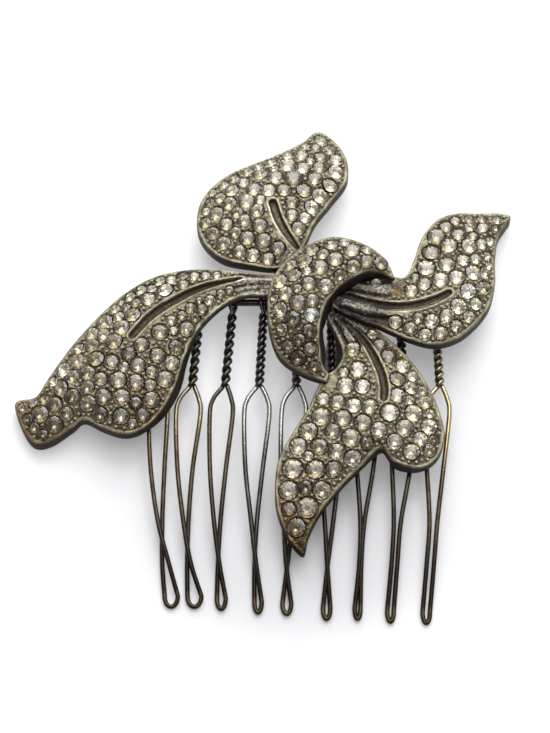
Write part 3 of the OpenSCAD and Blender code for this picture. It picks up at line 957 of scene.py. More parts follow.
RIGHT = PetalChart(
    node="right_petal",
    rim=[
        [9.3, 6.6, 7.6, 1, 0], [12.5, 4.9, 7.7, 1, 0.08], [16, 3.4, 7.6, 1.1, 0.2],
        [20, 1.8, 7.2, 1.3, 0.35], [23.5, 1.3, 6.7, 1.6, 0.46], [26.8, 2.6, 6.1, 1.8, 0.55],
        [29.4, 5, 5.6, 1.9, 0.63], [31.4, 8, 5.1, 2, 0.7], [32.3, 11.5, 4.7, 2, 0.78],
        [32.5, 15.5, 4.2, 2, 0.88], [33.2, 19.5, 3.4, 2.2, 0.97], [34.5, 22, 2.7, 2.3, 1],
        [35.2, 23.5, 2.4, 2.4, 1], [33.4, 23.8, 2.8, 2.3, 1], [30.3, 23.4, 3.6, 2.1, 0.96],
        [27, 22.9, 4.6, 1.9, 0.87], [24.3, 21.5, 5.2, 1.8, 0.78], [22.1, 18.5, 5.9, 1.7, 0.68],
        [20.8, 14.6, 6.6, 1.5, 0.54], [19.4, 11.6, 7.1, 1.2, 0.38], [16.8, 11.8, 7.5, 1.1, 0.24],
        [13, 12, 7.7, 1.1, 0.1], [9.5, 10.6, 7.7, 1, 0], [8.2, 8.6, 7.6, 1, 0],
    ],
    rib=[
        [10.5, 8.2, 8], [15.8, 6.6, 8.2], [21.1, 6.5, 8.1], [25.8, 9, 7.7], [28.4, 13.5, 6.8],
        [30.6, 18.7, 5.3],
    ],
    slot=[
        [9.6, 8.7, 0.36], [11, 8.3, 0.42], [12.5, 7.8, 0.46], [14.1, 7.2, 0.50], [16, 6.7, 0.56],
        [18.1, 6.5, 0.60], [20.4, 6.7, 0.62], [22.5, 7.3, 0.60], [24.2, 8.1, 0.52], [25.5, 8.9, 0.44],
    ],
    veins=[
        Vein(0.14, 0.30, [[10, 7.4], [12.2, 6.6], [14.2, 6], [16.2, 5.6], [18.4, 5.4], [20.6, 5.5]]),
        Vein(-0.46, 0.26, [[9.9, 6.9], [12.2, 5.8], [14.2, 5.1], [16.4, 4.8], [18, 4.8]]),
        Vein(-0.34, 0.20, [[9.7, 6.9], [11.6, 5.5], [13.4, 4.7], [15.4, 4.2]]),
        Vein(-0.40, 0.24, [[9.6, 9.5], [11.4, 9.3], [13.4, 8.8], [15.4, 8.4], [17.6, 8.3]]),
        Vein(0.12, 0.24, [[11, 10.2], [13.7, 9.9], [15.5, 9.8], [17.6, 10.2]]),
        Vein(-0.22, 0.55, [[12.4, 10.7], [14.3, 10.5], [16, 10.4], [17.5, 10.7]]),
        Vein(0.30, 0.15, [
            [12.5, 7.45], [14.1, 6.9], [16, 6.38], [18.1, 6.18], [20.4, 6.38], [22.5, 7],
            [24.4, 7.9],
        ]),
    ],
    bare=[
        [10.5, 8, 4], [13.6, 6.6, 3.2], [16, 9.6, 1.8], [16.4, 4.6, 1.2], [20.2, 12.8, 0.6],
        [18.2, 9.7, 1.3], [21.2, 15.4, 0.5], [22.2, 17.6, 0.5],
    ],
    dark=[[9, 8, 7, 0.56], [18.3, 9.7, 2, 0.5], [15, 4.8, 3.6, 0.75], [26, 19, 7, 0.25]],
    brown=[[18.4, 8.9, 0.9, 1.5]],
    fixed=[
        [20.2, 9.2, 1, 0.75], [22, 10.3, 1, 0.55], [24.4, 11, 1, 0.8], [22.4, 13, 1.1, 0.9],
        [25.3, 13.6, 1, 0.75], [23.3, 15.6, 1.1, 0.6], [24.1, 18.6, 1.05, 0.6], [25.8, 16.9, 1, 0.8],
        [27.2, 18.9, 0.95, 0.5], [25.6, 20.2, 0.85, 0.5], [26.9, 21.5, 0.7, 0.55],
        [28.7, 17, 1.05, 0.95], [27.8, 14.4, 0.95, 0.85], [26.7, 11.5, 0.95, 0.8],
        [29.1, 12.5, 1, 0.85], [29.6, 14.8, 0.85, 0.7], [30.6, 17.5, 0.85, 0.75],
        [32, 18.4, 0.6, 0.8], [31.4, 15.8, 0.7, 0.8], [30.9, 12.9, 0.8, 0.7], [28.3, 9.4, 1.1, 1.1],
        [30.7, 10.5, 0.85, 0.6], [26.9, 7, 1.05, 0.8], [29.4, 7.7, 0.95, 0.9], [25.2, 5.4, 1, 0.85],
        [28.4, 5.7, 0.9, 0.75], [23, 4.5, 1.05, 0.9], [26.5, 4.2, 0.9, 0.75], [24.3, 2.9, 0.9, 0.7],
        [22, 2.6, 0.9, 0.9], [20, 3.4, 0.98, 0.65], [17.9, 4.2, 0.98, 0.95], [29, 20.3, 0.8, 0.7],
        [30.9, 20.5, 0.8, 0.7], [29, 22, 0.65, 0.6], [30.8, 22.2, 0.65, 0.5],
        [33.1, 22.1, 0.65, 0.7], [32.7, 20.5, 0.6, 0.5], [15.3, 10.3, 0.65, 1.2],
    ],
    tone=0.52,
    seed=37,
)
LOWER = PetalChart(
    node="lower_petal",
    rim=[
        [8.4, 5.7, 6.5, 1, 0], [9.5, 3, 6.5, 1.1, 0.1], [10.4, 0.5, 6.4, 1.3, 0.21],
        [9.8, -1.7, 6.4, 1.5, 0.32], [7.5, -3.9, 6.2, 1.6, 0.42], [5.6, -8, 6, 1.6, 0.54],
        [3.4, -11.6, 5.7, 1.6, 0.64], [1.6, -15.2, 5.3, 1.6, 0.73], [1.1, -19, 4.9, 1.6, 0.81],
        [1.4, -22.5, 4.5, 1.6, 0.9], [2.8, -26, 4.1, 1.6, 0.98], [4.9, -28.4, 3.9, 1.5, 1],
        [5.7, -25.8, 4.2, 1.6, 0.98], [7.4, -22.5, 4.6, 1.6, 0.92], [10.2, -19, 4.9, 1.6, 0.82],
        [13.4, -15.8, 5.3, 1.6, 0.72], [15.7, -13.7, 5.6, 1.6, 0.64], [17.3, -15.5, 5.4, 1.6, 0.59],
        [20.8, -16.4, 5, 1.6, 0.55], [23.4, -14.8, 4.8, 1.6, 0.52], [24.5, -11.7, 4.9, 1.6, 0.49],
        [24, -8.5, 5.2, 1.6, 0.45], [22.7, -5, 5.5, 1.6, 0.4], [21, -2, 5.8, 1.5, 0.34],
        [18.7, 0.9, 6, 1.3, 0.27], [15.9, 3.5, 6.1, 1.2, 0.19], [12.5, 5.8, 6.3, 1, 0.1],
        [9.9, 6.9, 6.3, 1, 0],
    ],
    rib=[
        [9.8, 4.8, 6.9], [12.6, 2.6, 7], [15.5, -1.9, 7.1], [16.1, -7, 7.2], [12.8, -12.3, 6.7],
        [7.8, -18, 5.8], [4.7, -24, 4.9],
    ],
    slot=[
        [9.8, 5.7, 0.16], [11, 4.8, 0.24], [12.1, 3.6, 0.32], [13.1, 2.4, 0.40], [14.3, 0.5, 0.46],
        [15.2, -1.4, 0.50], [15.9, -3.4, 0.52], [16.2, -5.3, 0.52], [16.1, -6.8, 0.50],
    ],
    veins=[
        Vein(-0.34, 0.22, [[9.1, 5.2], [9.9, 4], [10.7, 2.4], [11.3, 1.1]]),
        Vein(-0.34, 0.22, [[9.6, 5.5], [10.9, 4.2], [12.1, 2.5], [13.1, 0.8]]),
        Vein(-0.28, 0.2, [[11.5, 4.7], [13, 3.6], [14.2, 2.4], [15.1, 1]]),
        Vein(0.14, 0.22, [[9.5, 5.6], [10.4, 4.5], [11.5, 2.9], [12.4, 1.3], [13.3, -0.6]]),
    ],
    bare=[
        [10.2, 5.2, 2.9], [11.4, 3.4, 1.9], [13.4, 5.2, 1.6], [16.2, 3.2, 0.8], [4.8, -27.8, 2],
        [3.4, -26.6, 0.8], [8.6, -3.9, 1.1],
    ],
    dark=[[9.5, 6, 5.5, 0.5], [4.6, -28.2, 3.8, 0.75]],
    lean=[[10.2, 0.2, 2.6, 0.75], [17.6, -15.4, 3, 0.6]],
    fixed=[
        [11.9, 0.6, 1.05, 0.75], [15.8, 1.5, 0.95, 0.15], [12.6, -2.4, 1.15, 0.8],
        [10.9, -4.8, 1.1, 0.85], [13.2, -5, 1.1, 0.85], [9.7, -7.3, 1.1, 0.6], [11.9, -7.8, 1.1, 0.95],
        [14.2, -8.1, 1.1, 0.75], [7.5, -9.3, 1.15, 0.65], [10.4, -9.6, 1.1, 0.6],
        [13.2, -10.4, 1.1, 0.65], [15.3, -11.4, 1.1, 0.95], [5.6, -11.3, 1.1, 0.75],
        [9, -11.6, 1.1, 0.45], [11.6, -12.6, 1.15, 0.75], [13.8, -13.3, 0.95, 0.35],
        [4.3, -13.5, 1.2, 0.75], [7.2, -13.7, 1.15, 0.5], [9.5, -14.5, 1.1, 0.75],
        [11.8, -15.4, 1.2, 1], [3.5, -16.6, 1.2, 0.85], [6.6, -16.8, 1.25, 0.7],
        [9.2, -17, 1.15, 0.5], [2.9, -19.7, 1.15, 0.95], [5.3, -19.4, 1, 0.45],
        [7.5, -19.8, 1.1, 0.95], [5.5, -22.2, 1.25, 1], [4, -24.8, 1.3, 1],
        [3, -22.3, 0.85, 0.5], [16.9, -9, 1.1, 0.85], [20.2, -8.8, 1.2, 0.85],
        [18.9, -11.1, 1.15, 0.75], [22.4, -10.5, 1.15, 0.85], [17.6, -13, 1.1, 1],
        [21.1, -12.4, 0.95, 0.9], [19.8, -14.2, 1.15, 0.85], [22.3, -13.9, 0.92, 0.55],
        [18, -6.4, 1.1, 0.65], [22, -6.9, 0.95, 0.75], [20, -5, 0.95, 0.75],
    ],
    brown=[[4, -26, 9.5, 0.9], [10, -12, 12, 0.12]],
    size=1.02,
    tone=0.64,
    seed=41,
)
# Outer edge x, y, z, inner edge x, y, z, swell over the middle, depths of outer and inner wall
CURL_ROWS = [
    [17.9, 10.6, 8.9, 17.4, 10.4, 8.9, 0.1, 0.8, 0.7],
    [16.6, 13.5, 8.9, 15.8, 11.1, 9.4, 0.8, 1, 1.5],
    [13.8, 15.8, 8.9, 13.5, 10.8, 10, 1.3, 1.3, 2.3],
    [9.3, 17, 8.9, 10.6, 9, 10.3, 1.6, 1.3, 2.7],
    [4.6, 15.1, 8.9, 8.7, 6.8, 10.2, 1.6, 1.3, 3],
    [0.8, 10.8, 8.8, 7.7, 4.4, 10, 1.6, 1.3, 3.4],
    [0, 5.2, 8.5, 7.3, 1.7, 9.5, 1.5, 1.4, 3.4],
    [1.4, -0.5, 7.8, 7.5, -0.7, 8.6, 1.2, 1.5, 2.8],
    [4.7, -3.2, 7.3, 7.8, -2.2, 7.7, 0.7, 1.4, 1.4],
    [8.2, -4.5, 7, 8.7, -3.2, 7, 0.1, 1.2, 1.2],
]
CURL = PetalChart(
    node="centre_curl",
    rim=CURL_ROWS,
    rib=(),
    fixed=[
        [3.5, 3.6, 1.05, 0.15], [5.9, 1.9, 1.05, 0.15], [6.2, 4.3, 0.9, 1.2], [9, 15.2, 1, 0.75],
        [9.5, 12.4, 1, 0.6], [11.8, 14, 1.05, 0.7], [14, 12.3, 0.95, 0.5], [12.1, 11.4, 0.9, 0.75],
        [5.2, 12.6, 1.1, 0.35], [7.4, 11.2, 1, 0.4], [10.2, 9.9, 1, 0.7], [8.2, 8.4, 1.1, 0.8],
        [5.8, 8.8, 1.05, 0.45], [3.7, 10.3, 1.05, 0.35], [2.5, 7.6, 1.05, 0.75], [4.2, 5.9, 1.1, 0.3],
        [6.3, 6.3, 0.95, 0.6], [1.7, 5.2, 0.95, 0.7], [1.9, 2.4, 0.95, 0.55], [2.8, -0.1, 0.85, 0.75],
        [4.4, 0.6, 0.95, 0.3], [6.1, -0.5, 1, 0.25], [4.2, -1.6, 0.95, 0.25], [6.6, -2.7, 0.9, 0.5],
    ],
    brown=[[4, 1, 8, 0.35]],
    dark=[[3.5, -0.5, 5, 0.25], [9, 15, 6, 0.3]],
    lean=[[7.4, 1, 3.6, 0.85], [8.4, 5.2, 3, 0.5], [12, 10, 3.6, 0.45]],
    size=1.02,
    tone=0.54,
    seed=53,
)


# The forms of the castings


@dataclass
class PetalForm:
    """A petal's smooth face between its rim and its midrib.

    steps: rim points for each charted row. levels: rings of the face's grid. swell: power of the rise from
    rim to midrib. most_wall, hollow_end: parts of the way in that the rim's wall and the back may take.
    blended: grid points that a normal is averaged over. above: a height over every casting.
    """

    chart: PetalChart
    steps: int = 16
    levels: int = 15
    swell: float = 1.8
    rim_wall: float = 0.8
    most_wall: float = 0.4
    wall: float = 0.9
    hollow_end: float = 0.9
    blended: int = 9
    above: float = 30.0

    def __post_init__(self) -> None:
        """Lays out the rim and the place on the midrib that each rim point faces."""
        rim = closed_curve(self.chart.rim, self.steps)
        self.place = np.clip(rim[:, 4], 0, 1)
        rib = along(self.chart.rib, self.place)
        self.rim, self.rib, self.depth = rim[:, :3], rib[:, :3], rim[:, 3]
        self.prepare()

    def prepare(self) -> None:
        """Works out the inner edge of the rim's wall, the face's grid and its normals."""
        across = self.rib[:, :2] - self.rim[:, :2]
        reach = np.linalg.norm(across, axis=1)
        self.inside = np.minimum(self.most_wall, self.rim_wall / reach)
        self.foot = np.maximum(0, self.rim[:, 2] - self.depth)
        self.inward = across / reach[:, None]
        self.lean = shade(self.chart.lean, self.rim)
        n = len(self.rim)
        self.grid = np.concatenate([self.at(np.full(n, s)) for s in np.linspace(0, 1, self.levels)])
        ring = np.arange(self.levels - 1)[:, None] * n
        here, ahead = (ring + np.arange(n)).ravel(), (ring + (np.arange(n) + 1) % n).ravel()
        pairs = [np.column_stack([here, ahead, ahead + n]), np.column_stack([here, ahead + n, here + n])]
        self.faces = np.stack(pairs, axis=1).reshape(-1, 3)
        a, b, c = (self.grid[corner] for corner in self.faces.T)
        flat = np.cross(b - a, c - a)
        flat[flat[:, 2] < 0] *= -1
        normals = np.zeros_like(self.grid)
        for corner in self.faces.T:
            np.add.at(normals, corner, flat)
        self.tree = BVHTree.FromPolygons(self.grid.tolist(), self.faces.tolist())
        self.near = kd_tree(np.column_stack([self.grid[:, :2], np.zeros(len(self.grid))]))
        self.normals = self.averaged(normals)

    def averaged(self, normals: Array) -> Array:
        """Normals averaged over their neighbours in plan, so that no line of the grid shows.

        Args:
            normals: One for each point of the grid, of any length.

        Returns:
            Normals of length 1.
        """
        result = np.empty_like(normals)
        for i, point in enumerate(self.grid):
            around = [j for _, j, _ in self.near.find_n((point[0], point[1], 0), self.blended)]
            result[i] = normals[around].sum(0)
        return result / np.maximum(np.linalg.norm(result, axis=1), TINY)[:, None]

    def height(self, s: Array) -> Array:
        """Height of the face at parts of the way from rim to midrib."""
        return self.rim[:, 2] + (self.rib[:, 2] - self.rim[:, 2]) * (1 - (1 - s) ** self.swell)

    def at(self, s: Array, drop: float = 0.0) -> Array:
        """Points of the face at parts of the way from rim to midrib, lowered by a drop."""
        plan = self.rim[:, :2] + (self.rib[:, :2] - self.rim[:, :2]) * s[:, None]
        return np.column_stack([plan, self.height(s) - drop])

    def sample(self, plan: Array) -> tuple[Array, Array]:
        """The face over plan points.

        Args:
            plan: The plan points.

        Returns:
            The points on the face, and its normals there.
        """
        points, normals = np.empty((len(plan), 3)), np.empty((len(plan), 3))
        for i, (x, y) in enumerate(plan):
            hit, _, face, _ = self.tree.ray_cast(Vector((x, y, self.above)), Vector((0, 0, -1)))
            if face is None:
                _, j, _ = self.near.find((x, y, 0))
                points[i], normals[i] = (x, y, self.grid[j][2]), self.normals[j]
            else:
                corners = self.faces[face]
                normal = self.shares(x, y, *self.grid[corners]) @ self.normals[corners]
                points[i], normals[i] = hit, normal / np.linalg.norm(normal)
        return points, normals

    @staticmethod
    def shares(x: float, y: float, a: Array, b: Array, c: Array) -> Array:
        """The share that each corner of a triangle has in a plan point of it.

        Args:
            x, y: The plan point.
            a, b, c: The corners.

        Returns:
            Three shares that add up to 1.
        """
        area = (b[0] - a[0]) * (c[1] - a[1]) - (b[1] - a[1]) * (c[0] - a[0])
        if not area:
            return np.full(3, 1 / 3)
        u = ((b[0] - x) * (c[1] - y) - (b[1] - y) * (c[0] - x)) / area
        v = ((c[0] - x) * (a[1] - y) - (c[1] - y) * (a[0] - x)) / area
        return np.array([u, v, 1 - u - v])

    def closing(self) -> list[tuple[int, int, int]]:
        """The triangles that close a ring of the form along its midrib."""
        left, right, faces = 0, len(self.place) - 1, []
        while right - left > 1:
            if self.place[left + 1] <= self.place[right - 1]:
                faces.append((left, right, left + 1))
                left += 1
            else:
                faces.append((left, right, right - 1))
                right -= 1
        return faces


@dataclass
class CurlForm(PetalForm):
    """The centre curl's face: an arched band between its outer and its inner edge."""

    steps: int = 24
    hollow_end: float = 0.96

    def __post_init__(self) -> None:
        """Lays out both edges as one loop round the band's middle line."""
        rows = open_curve(self.chart.rim, self.steps)
        outer, inner, part = rows[:, :3], rows[:, 3:6], np.linspace(0, 1, len(rows))
        middle = (outer + inner) / 2
        self.rim, self.across, self.rib, self.place, self.swells, self.depth = (
            np.concatenate([there, back[::-1]])
            for there, back in (
                (outer, inner),
                (inner, outer),
                (middle, middle),
                (part, part),
                (rows[:, 6], rows[:, 6]),
                (rows[:, 7], rows[:, 8]),
            )
        )
        self.prepare()

    def height(self, s: Array) -> Array:
        """Height of the band at parts of the way from an edge to the middle line."""
        u = s / 2
        return self.rim[:, 2] + (self.across[:, 2] - self.rim[:, 2]) * u + self.swells * 4 * u * (1 - u)


# Where stones and beads sit


@dataclass
class Setting:
    """The stones and beads of one casting, by plan place, radius and tone."""

    stones: Array
    beads: Array


@dataclass(frozen=True)
class ToneDraw:
    """How stones' tones are drawn: shares of dull and other stones, and the ranges of each kind."""

    dull_below: float = 0.12
    bright_above: float = 0.84
    dull: Pair = (0.05, 0.25)
    bright: Pair = (0.78, 1.0)
    spread: float = 0.14

    def draw(self, source: random.Random, middle: float) -> float:
        """A stone's tone, mostly near a middle one and now and then dull or bright.

        Args:
            source: The random numbers.
            middle: The casting's own tone.

        Returns:
            The tone, from 0 to 1.
        """
        chance = source.random()
        if chance < self.dull_below:
            return source.uniform(*self.dull)
        if chance > self.bright_above:
            return source.uniform(*self.bright)
        return min(1.0, max(0.0, source.gauss(middle, self.spread)))


@dataclass(frozen=True)
class BeadSizes:
    """Sizes of the beads, and how near they come to stones, to each other, to the rim and to a channel."""

    largest: float = 0.28
    least_room: float = 0.24
    fill: float = 0.8
    apart: float = 0.12
    into_gap: float = 0.9
    rim_margin: float = 0.34
    slot_margin: float = -0.05
    none: float = -1.0
    most: int = 700


@dataclass
class PaveLayout:
    """Sets stones over a casting's face, each as near to its neighbours as their seats allow.

    grid: pitch of the places that a stone may take. gap: metal between stones. largest: radius of a
    full-sized stone. widest: how much one may widen. away: how far a face may turn from the camera and
    keep its stones. scales: sizes in the order of setting. cut: range of a stone's radius.
    """

    chart: PetalChart
    form: PetalForm
    loop: Array
    grid: float = 0.13
    slot_steps: int = 6
    rim_margin: float = 0.38
    slot_margin: float = 0.40
    gap: float = 0.05
    largest: float = 1.12
    widest: float = 1.06
    widest_charted: float = 1.17
    away: float = 0.3
    away_slope: float = 5.0
    small_band: float = 3.2
    far: float = 9.0
    scales: tuple[float, ...] = (1.0, 0.92, 0.82, 0.72, 0.63)
    jitter: float = 0.12
    second_weight: float = 0.6
    cut: Pair = (0.94, 1.0)
    tones: ToneDraw = ToneDraw()
    bead: BeadSizes = BeadSizes()
    stones: list[tuple[int, float, float]] = field(default_factory=list)

    def __post_init__(self) -> None:
        """Measures the room round every place of a fine grid."""
        self.random = random.Random(self.chart.seed)
        plan = hex_grid(self.loop, self.grid)
        self.plan = plan[within(plan, self.loop)]
        self.points, normals = self.form.sample(self.plan)
        rim = np.column_stack([self.loop, self.form.rim[:, 2]])
        tree = kd_tree(np.concatenate([rim, (rim + np.roll(rim, -1, axis=0)) / 2]))
        self.rim_room = np.array([tree.find(point)[2] for point in self.points])
        room = self.rim_room - self.rim_margin
        if len(self.chart.slot):
            side = side_distance(self.plan, open_curve(self.chart.slot, self.slot_steps))
            room = np.minimum(room, side - self.slot_margin)
        for x, y, radius in self.chart.bare:
            room = np.minimum(room, plan_distance(self.plan, x, y) - radius)
        self.room = np.minimum(room, (normals @ np.array(TO_CAMERA) - self.away) * self.away_slope)
        self.first = np.minimum(self.room, self.far)
        self.second = np.full(len(self.plan), self.far)

    def sizes(self) -> Array:
        """The stone radius that suits each place."""
        size = np.full(len(self.plan), self.largest * self.chart.size)
        for x, y, reach, radius in self.chart.small:
            near = (plan_distance(self.plan, x, y) < reach) & (self.rim_room < self.small_band)
            size = np.where(near, np.minimum(size, radius), size)
        return size

    def gaps(self, index: int, radius: float) -> Array:
        """The room that a stone at a grid place leaves at every place."""
        return np.linalg.norm(self.points - self.points[index], axis=1) - radius - self.gap

    def put(self, index: int, radius: float, tone: float) -> None:
        """Sets a stone and takes its room away from its neighbours.

        Args:
            index: Its place in the grid.
            radius: Its radius.
            tone: Its tone.
        """
        room = self.gaps(index, radius)
        self.second = np.minimum(self.second, np.maximum(self.first, room))
        self.first = np.minimum(self.first, room)
        self.stones.append((index, radius, tone))

    def lay(self) -> Setting:
        """Sets the charted stones, then full-sized ones, then small ones, then beads."""
        for x, y, radius, tone in self.chart.fixed:
            self.put(int(plan_distance(self.plan, x, y).argmin()), radius, tone)
        jitter = np.array([self.random.random() for _ in self.plan]) * self.jitter
        size = self.sizes()
        for scale in self.scales:
            radius = size * scale
            while (self.first >= radius).any():
                spare, beyond = self.first - radius, np.maximum(self.second - radius, 0)
                loose = spare + self.second_weight * beyond + jitter
                index = int(np.where(self.first >= radius, loose, np.inf).argmin())
                wide = float(radius[index]) * self.random.uniform(*self.cut)
                self.put(index, wide, self.tones.draw(self.random, self.chart.tone))
        self.widen(size)
        stones = [(*self.plan[index], radius, tone) for index, radius, tone in self.stones]
        return Setting(np.array(stones), self.beads())

    def widen(self, size: Array) -> None:
        """Widens each stone to the room that its neighbours leave it.

        Args:
            size: The stone radius that suits each place.
        """
        for i, (index, radius, tone) in enumerate(self.stones):
            charted = i < len(self.chart.fixed)
            widest = radius * self.widest_charted if charted else size[index] * self.widest
            others = self.stones[:i] + self.stones[i + 1 :]
            far = np.linalg.norm(self.points[[other[0] for other in others]] - self.points[index], axis=1)
            free = float((far - [other[1] for other in others]).min()) - self.gap
            radius = float(max(radius, min(free, self.room[index], widest)))
            self.stones[i] = (index, radius, tone)
            self.first = np.minimum(self.first, self.gaps(index, radius))

    def beads(self) -> Array:
        """Small cast beads in the gaps between stones."""
        bead = self.bead
        room = np.minimum(self.first + self.gap * bead.into_gap, self.rim_room - bead.rim_margin)
        if len(self.chart.slot):
            room = np.where(self.room < bead.slot_margin, bead.none, room)
        for x, y, radius in self.chart.bare:
            room = np.where(plan_distance(self.plan, x, y) < radius, bead.none, room)
        beads = []
        while len(beads) < bead.most and room.max() >= bead.least_room:
            index = int(room.argmax())
            radius = min(bead.largest, float(room[index]) * bead.fill)
            far = np.linalg.norm(self.points - self.points[index], axis=1)
            room = np.minimum(room, far - radius - bead.apart)
            beads.append((*self.plan[index], radius))
        return np.array(beads).reshape(-1, 3)


# The castings


@dataclass
class Relief:
    """Heights of a casting's cast detail above and below its smooth face.

    RIM, SEAT and SLOT pair distances with heights: from the outline, from a stone's centre in stone radii,
    and from a channel's side. A fade is where one starts to give way, and over what width. Lines and rings
    are offsets where the mesh has points, for seats in stone radii with numbers of points.
    """

    RIM = ([0.0, 0.08, 0.18, 0.29, 0.38, 0.49, 0.66], [-0.04, 0.04, 0.07, 0.04, -0.09, -0.13, -0.10])
    SEAT = (
        [0.0, 0.55, 0.98, 1.06, 1.13, 1.19, 1.27, 1.4],
        [-0.85, -0.80, -0.34, -0.28, -0.01, 0.03, -0.05, -0.10],
    )
    SLOT = (
        [-0.5, -0.22, -0.08, 0.0, 0.10, 0.26, 0.40, 0.52],
        [-0.58, -0.52, -0.34, -0.02, 0.09, 0.10, 0.0, -0.10],
    )
    FIELD = -0.10
    RIM_LINES = (0.10, 0.21, 0.32, 0.42, 0.54)
    SLOT_LINES = (-0.22, -0.08, 0.0, 0.10, 0.26, 0.40, 0.52)
    VEIN_LINES = (0.0, 0.11, -0.11, 0.24, -0.24)
    SEAT_RINGS = ((0.5, 7), (0.98, 18), (1.06, 20), (1.14, 22), (1.22, 20), (1.33, 18))

    chart: PetalChart
    form: PetalForm
    outline: Array
    setting: Setting
    grain_per_mm: float = 2.2
    grain_layer: float = 3.0
    grain_height: float = 0.05
    grain_from: float = 0.45
    seat_fade: Pair = (1.16, 0.2)
    vein_fade: Pair = (1.0, 0.2)
    rim_fade: Pair = (0.27, -0.15)
    slot_fade: Pair = (0.36, 0.16)
    slot_steps: int = 8
    slot_points: int = 14
    least_half: float = 0.02
    end_arc: float = 1.4
    end_points: int = 9
    vein_steps: int = 6
    vein_points: int = 12
    vein_ends: float = 8.0
    root_reach: float = 0.4
    root_fade: float = -0.6
    root_rise: float = 0.10
    root_grain_per_mm: float = 4.5
    root_grain_layer: float = 9.0

    def __post_init__(self) -> None:
        """Prepares the lines that the detail follows."""
        self.places, self.normals = self.form.sample(self.setting.stones[:, :2])
        self.loop = np.vstack([self.outline, self.outline[:1]])
        self.slot = open_curve(self.chart.slot, self.slot_steps) if len(self.chart.slot) else None

    def height(self, plan: Array, points: Array) -> Array:
        """Height of the detail along the face's normal.

        Args:
            plan: Plan points.
            points: Their places on the face.

        Returns:
            One height for each point.
        """
        rim = line_distance(plan, self.loop)[0]
        grain = cloud(plan, self.grain_per_mm, self.grain_layer)
        height = np.interp(rim, *self.RIM) + self.grain_height * grain * (rim > self.grain_from)
        height = height + self.roots(plan)
        free = np.ones(len(plan))
        for place, radius in zip(self.places, self.setting.stones[:, 2]):
            q = np.linalg.norm(points - place, axis=1) / radius
            near = q < self.SEAT[0][-1]
            free[near] = np.minimum(free[near], fade(q[near], *self.vein_fade))
            blend = np.maximum(fade(q[near], *self.seat_fade), fade(rim[near], *self.rim_fade))
            height[near] = np.interp(q[near], *self.SEAT) * (1 - blend) + height[near] * blend
        if self.slot is not None:
            side = side_distance(plan, self.slot)
            near = side < self.SLOT[0][-1]
            blend = fade(side[near], *self.slot_fade)
            height[near] = np.interp(side[near], *self.SLOT) * (1 - blend) + height[near] * blend
        return height + free * self.veins(plan)

    def veins(self, plan: Array) -> Array:
        """Height of the drawn grooves and ridges.

        Args:
            plan: Plan points.

        Returns:
            One height for each point.
        """
        height = np.zeros(len(plan))
        for vein in self.chart.veins:
            far, place = line_distance(plan, open_curve(vein.rows, self.vein_steps))
            ends = np.clip(np.minimum(place, 1 - place) * self.vein_ends, 0, 1)
            height += vein.height * ends * np.exp(-((far / vein.width) ** 2))
        return height

    def roots(self, plan: Array) -> Array:
        """Height of the grain of a petal's bare places.

        Args:
            plan: Plan points.

        Returns:
            One height for each point.
        """
        bare = np.zeros(len(plan))
        for x, y, radius in self.chart.bare:
            bare = np.maximum(bare, fade(plan_distance(plan, x, y), radius + self.root_reach, self.root_fade))
        fine = cloud(plan, self.root_grain_per_mm, self.root_grain_layer)
        return bare * (self.root_rise + self.root_rise * fine)

    def lines(self) -> list[Array]:
        """Plan points along the detail's edges, which the mesh has to have."""
        corners = self.loop[:-1]
        side = np.roll(corners, -1, axis=0) - corners
        inward = np.column_stack([-side[:, 1], side[:, 0]])
        inward /= np.maximum(np.linalg.norm(inward, axis=1), TINY)[:, None]
        points = [corners + inward * offset for offset in self.RIM_LINES]
        if self.slot is not None:
            points += self.slot_lines()
        for vein in self.chart.veins:
            line = open_curve(vein.rows, self.vein_points)
            points += [line + directions(line)[1] * offset for offset in self.VEIN_LINES]
        for place, normal, radius in zip(self.places, self.normals, self.setting.stones[:, 2]):
            u = np.cross(normal, (0.0, 1.0, 0.0))
            u /= np.linalg.norm(u)
            v = np.cross(normal, u)
            for q, count in self.SEAT_RINGS:
                angle = np.linspace(0, 2 * math.pi, count, endpoint=False)
                ring = np.outer(np.cos(angle), u[:2]) + np.outer(np.sin(angle), v[:2])
                points.append(ring * radius * q + place[:2])
        return points

    def slot_lines(self) -> list[Array]:
        """Plan points along the open channel's sides, round its ends and along its middle."""
        points = []
        line = open_curve(self.chart.slot, self.slot_points)
        middle = line[:, :2]
        heading, across = directions(middle)
        angle = np.linspace(-self.end_arc, self.end_arc, self.end_points)[:, None]
        for offset in self.SLOT_LINES:
            half = np.maximum(line[:, 2] + offset, self.least_half)[:, None]
            points += [middle + across * half, middle - across * half]
            for end, sign in ((0, -1), (-1, 1)):
                turn = np.cos(angle) * heading[end] * sign + np.sin(angle) * across[end]
                points.append(middle[end] + turn * half[end])
        return [*points, middle]


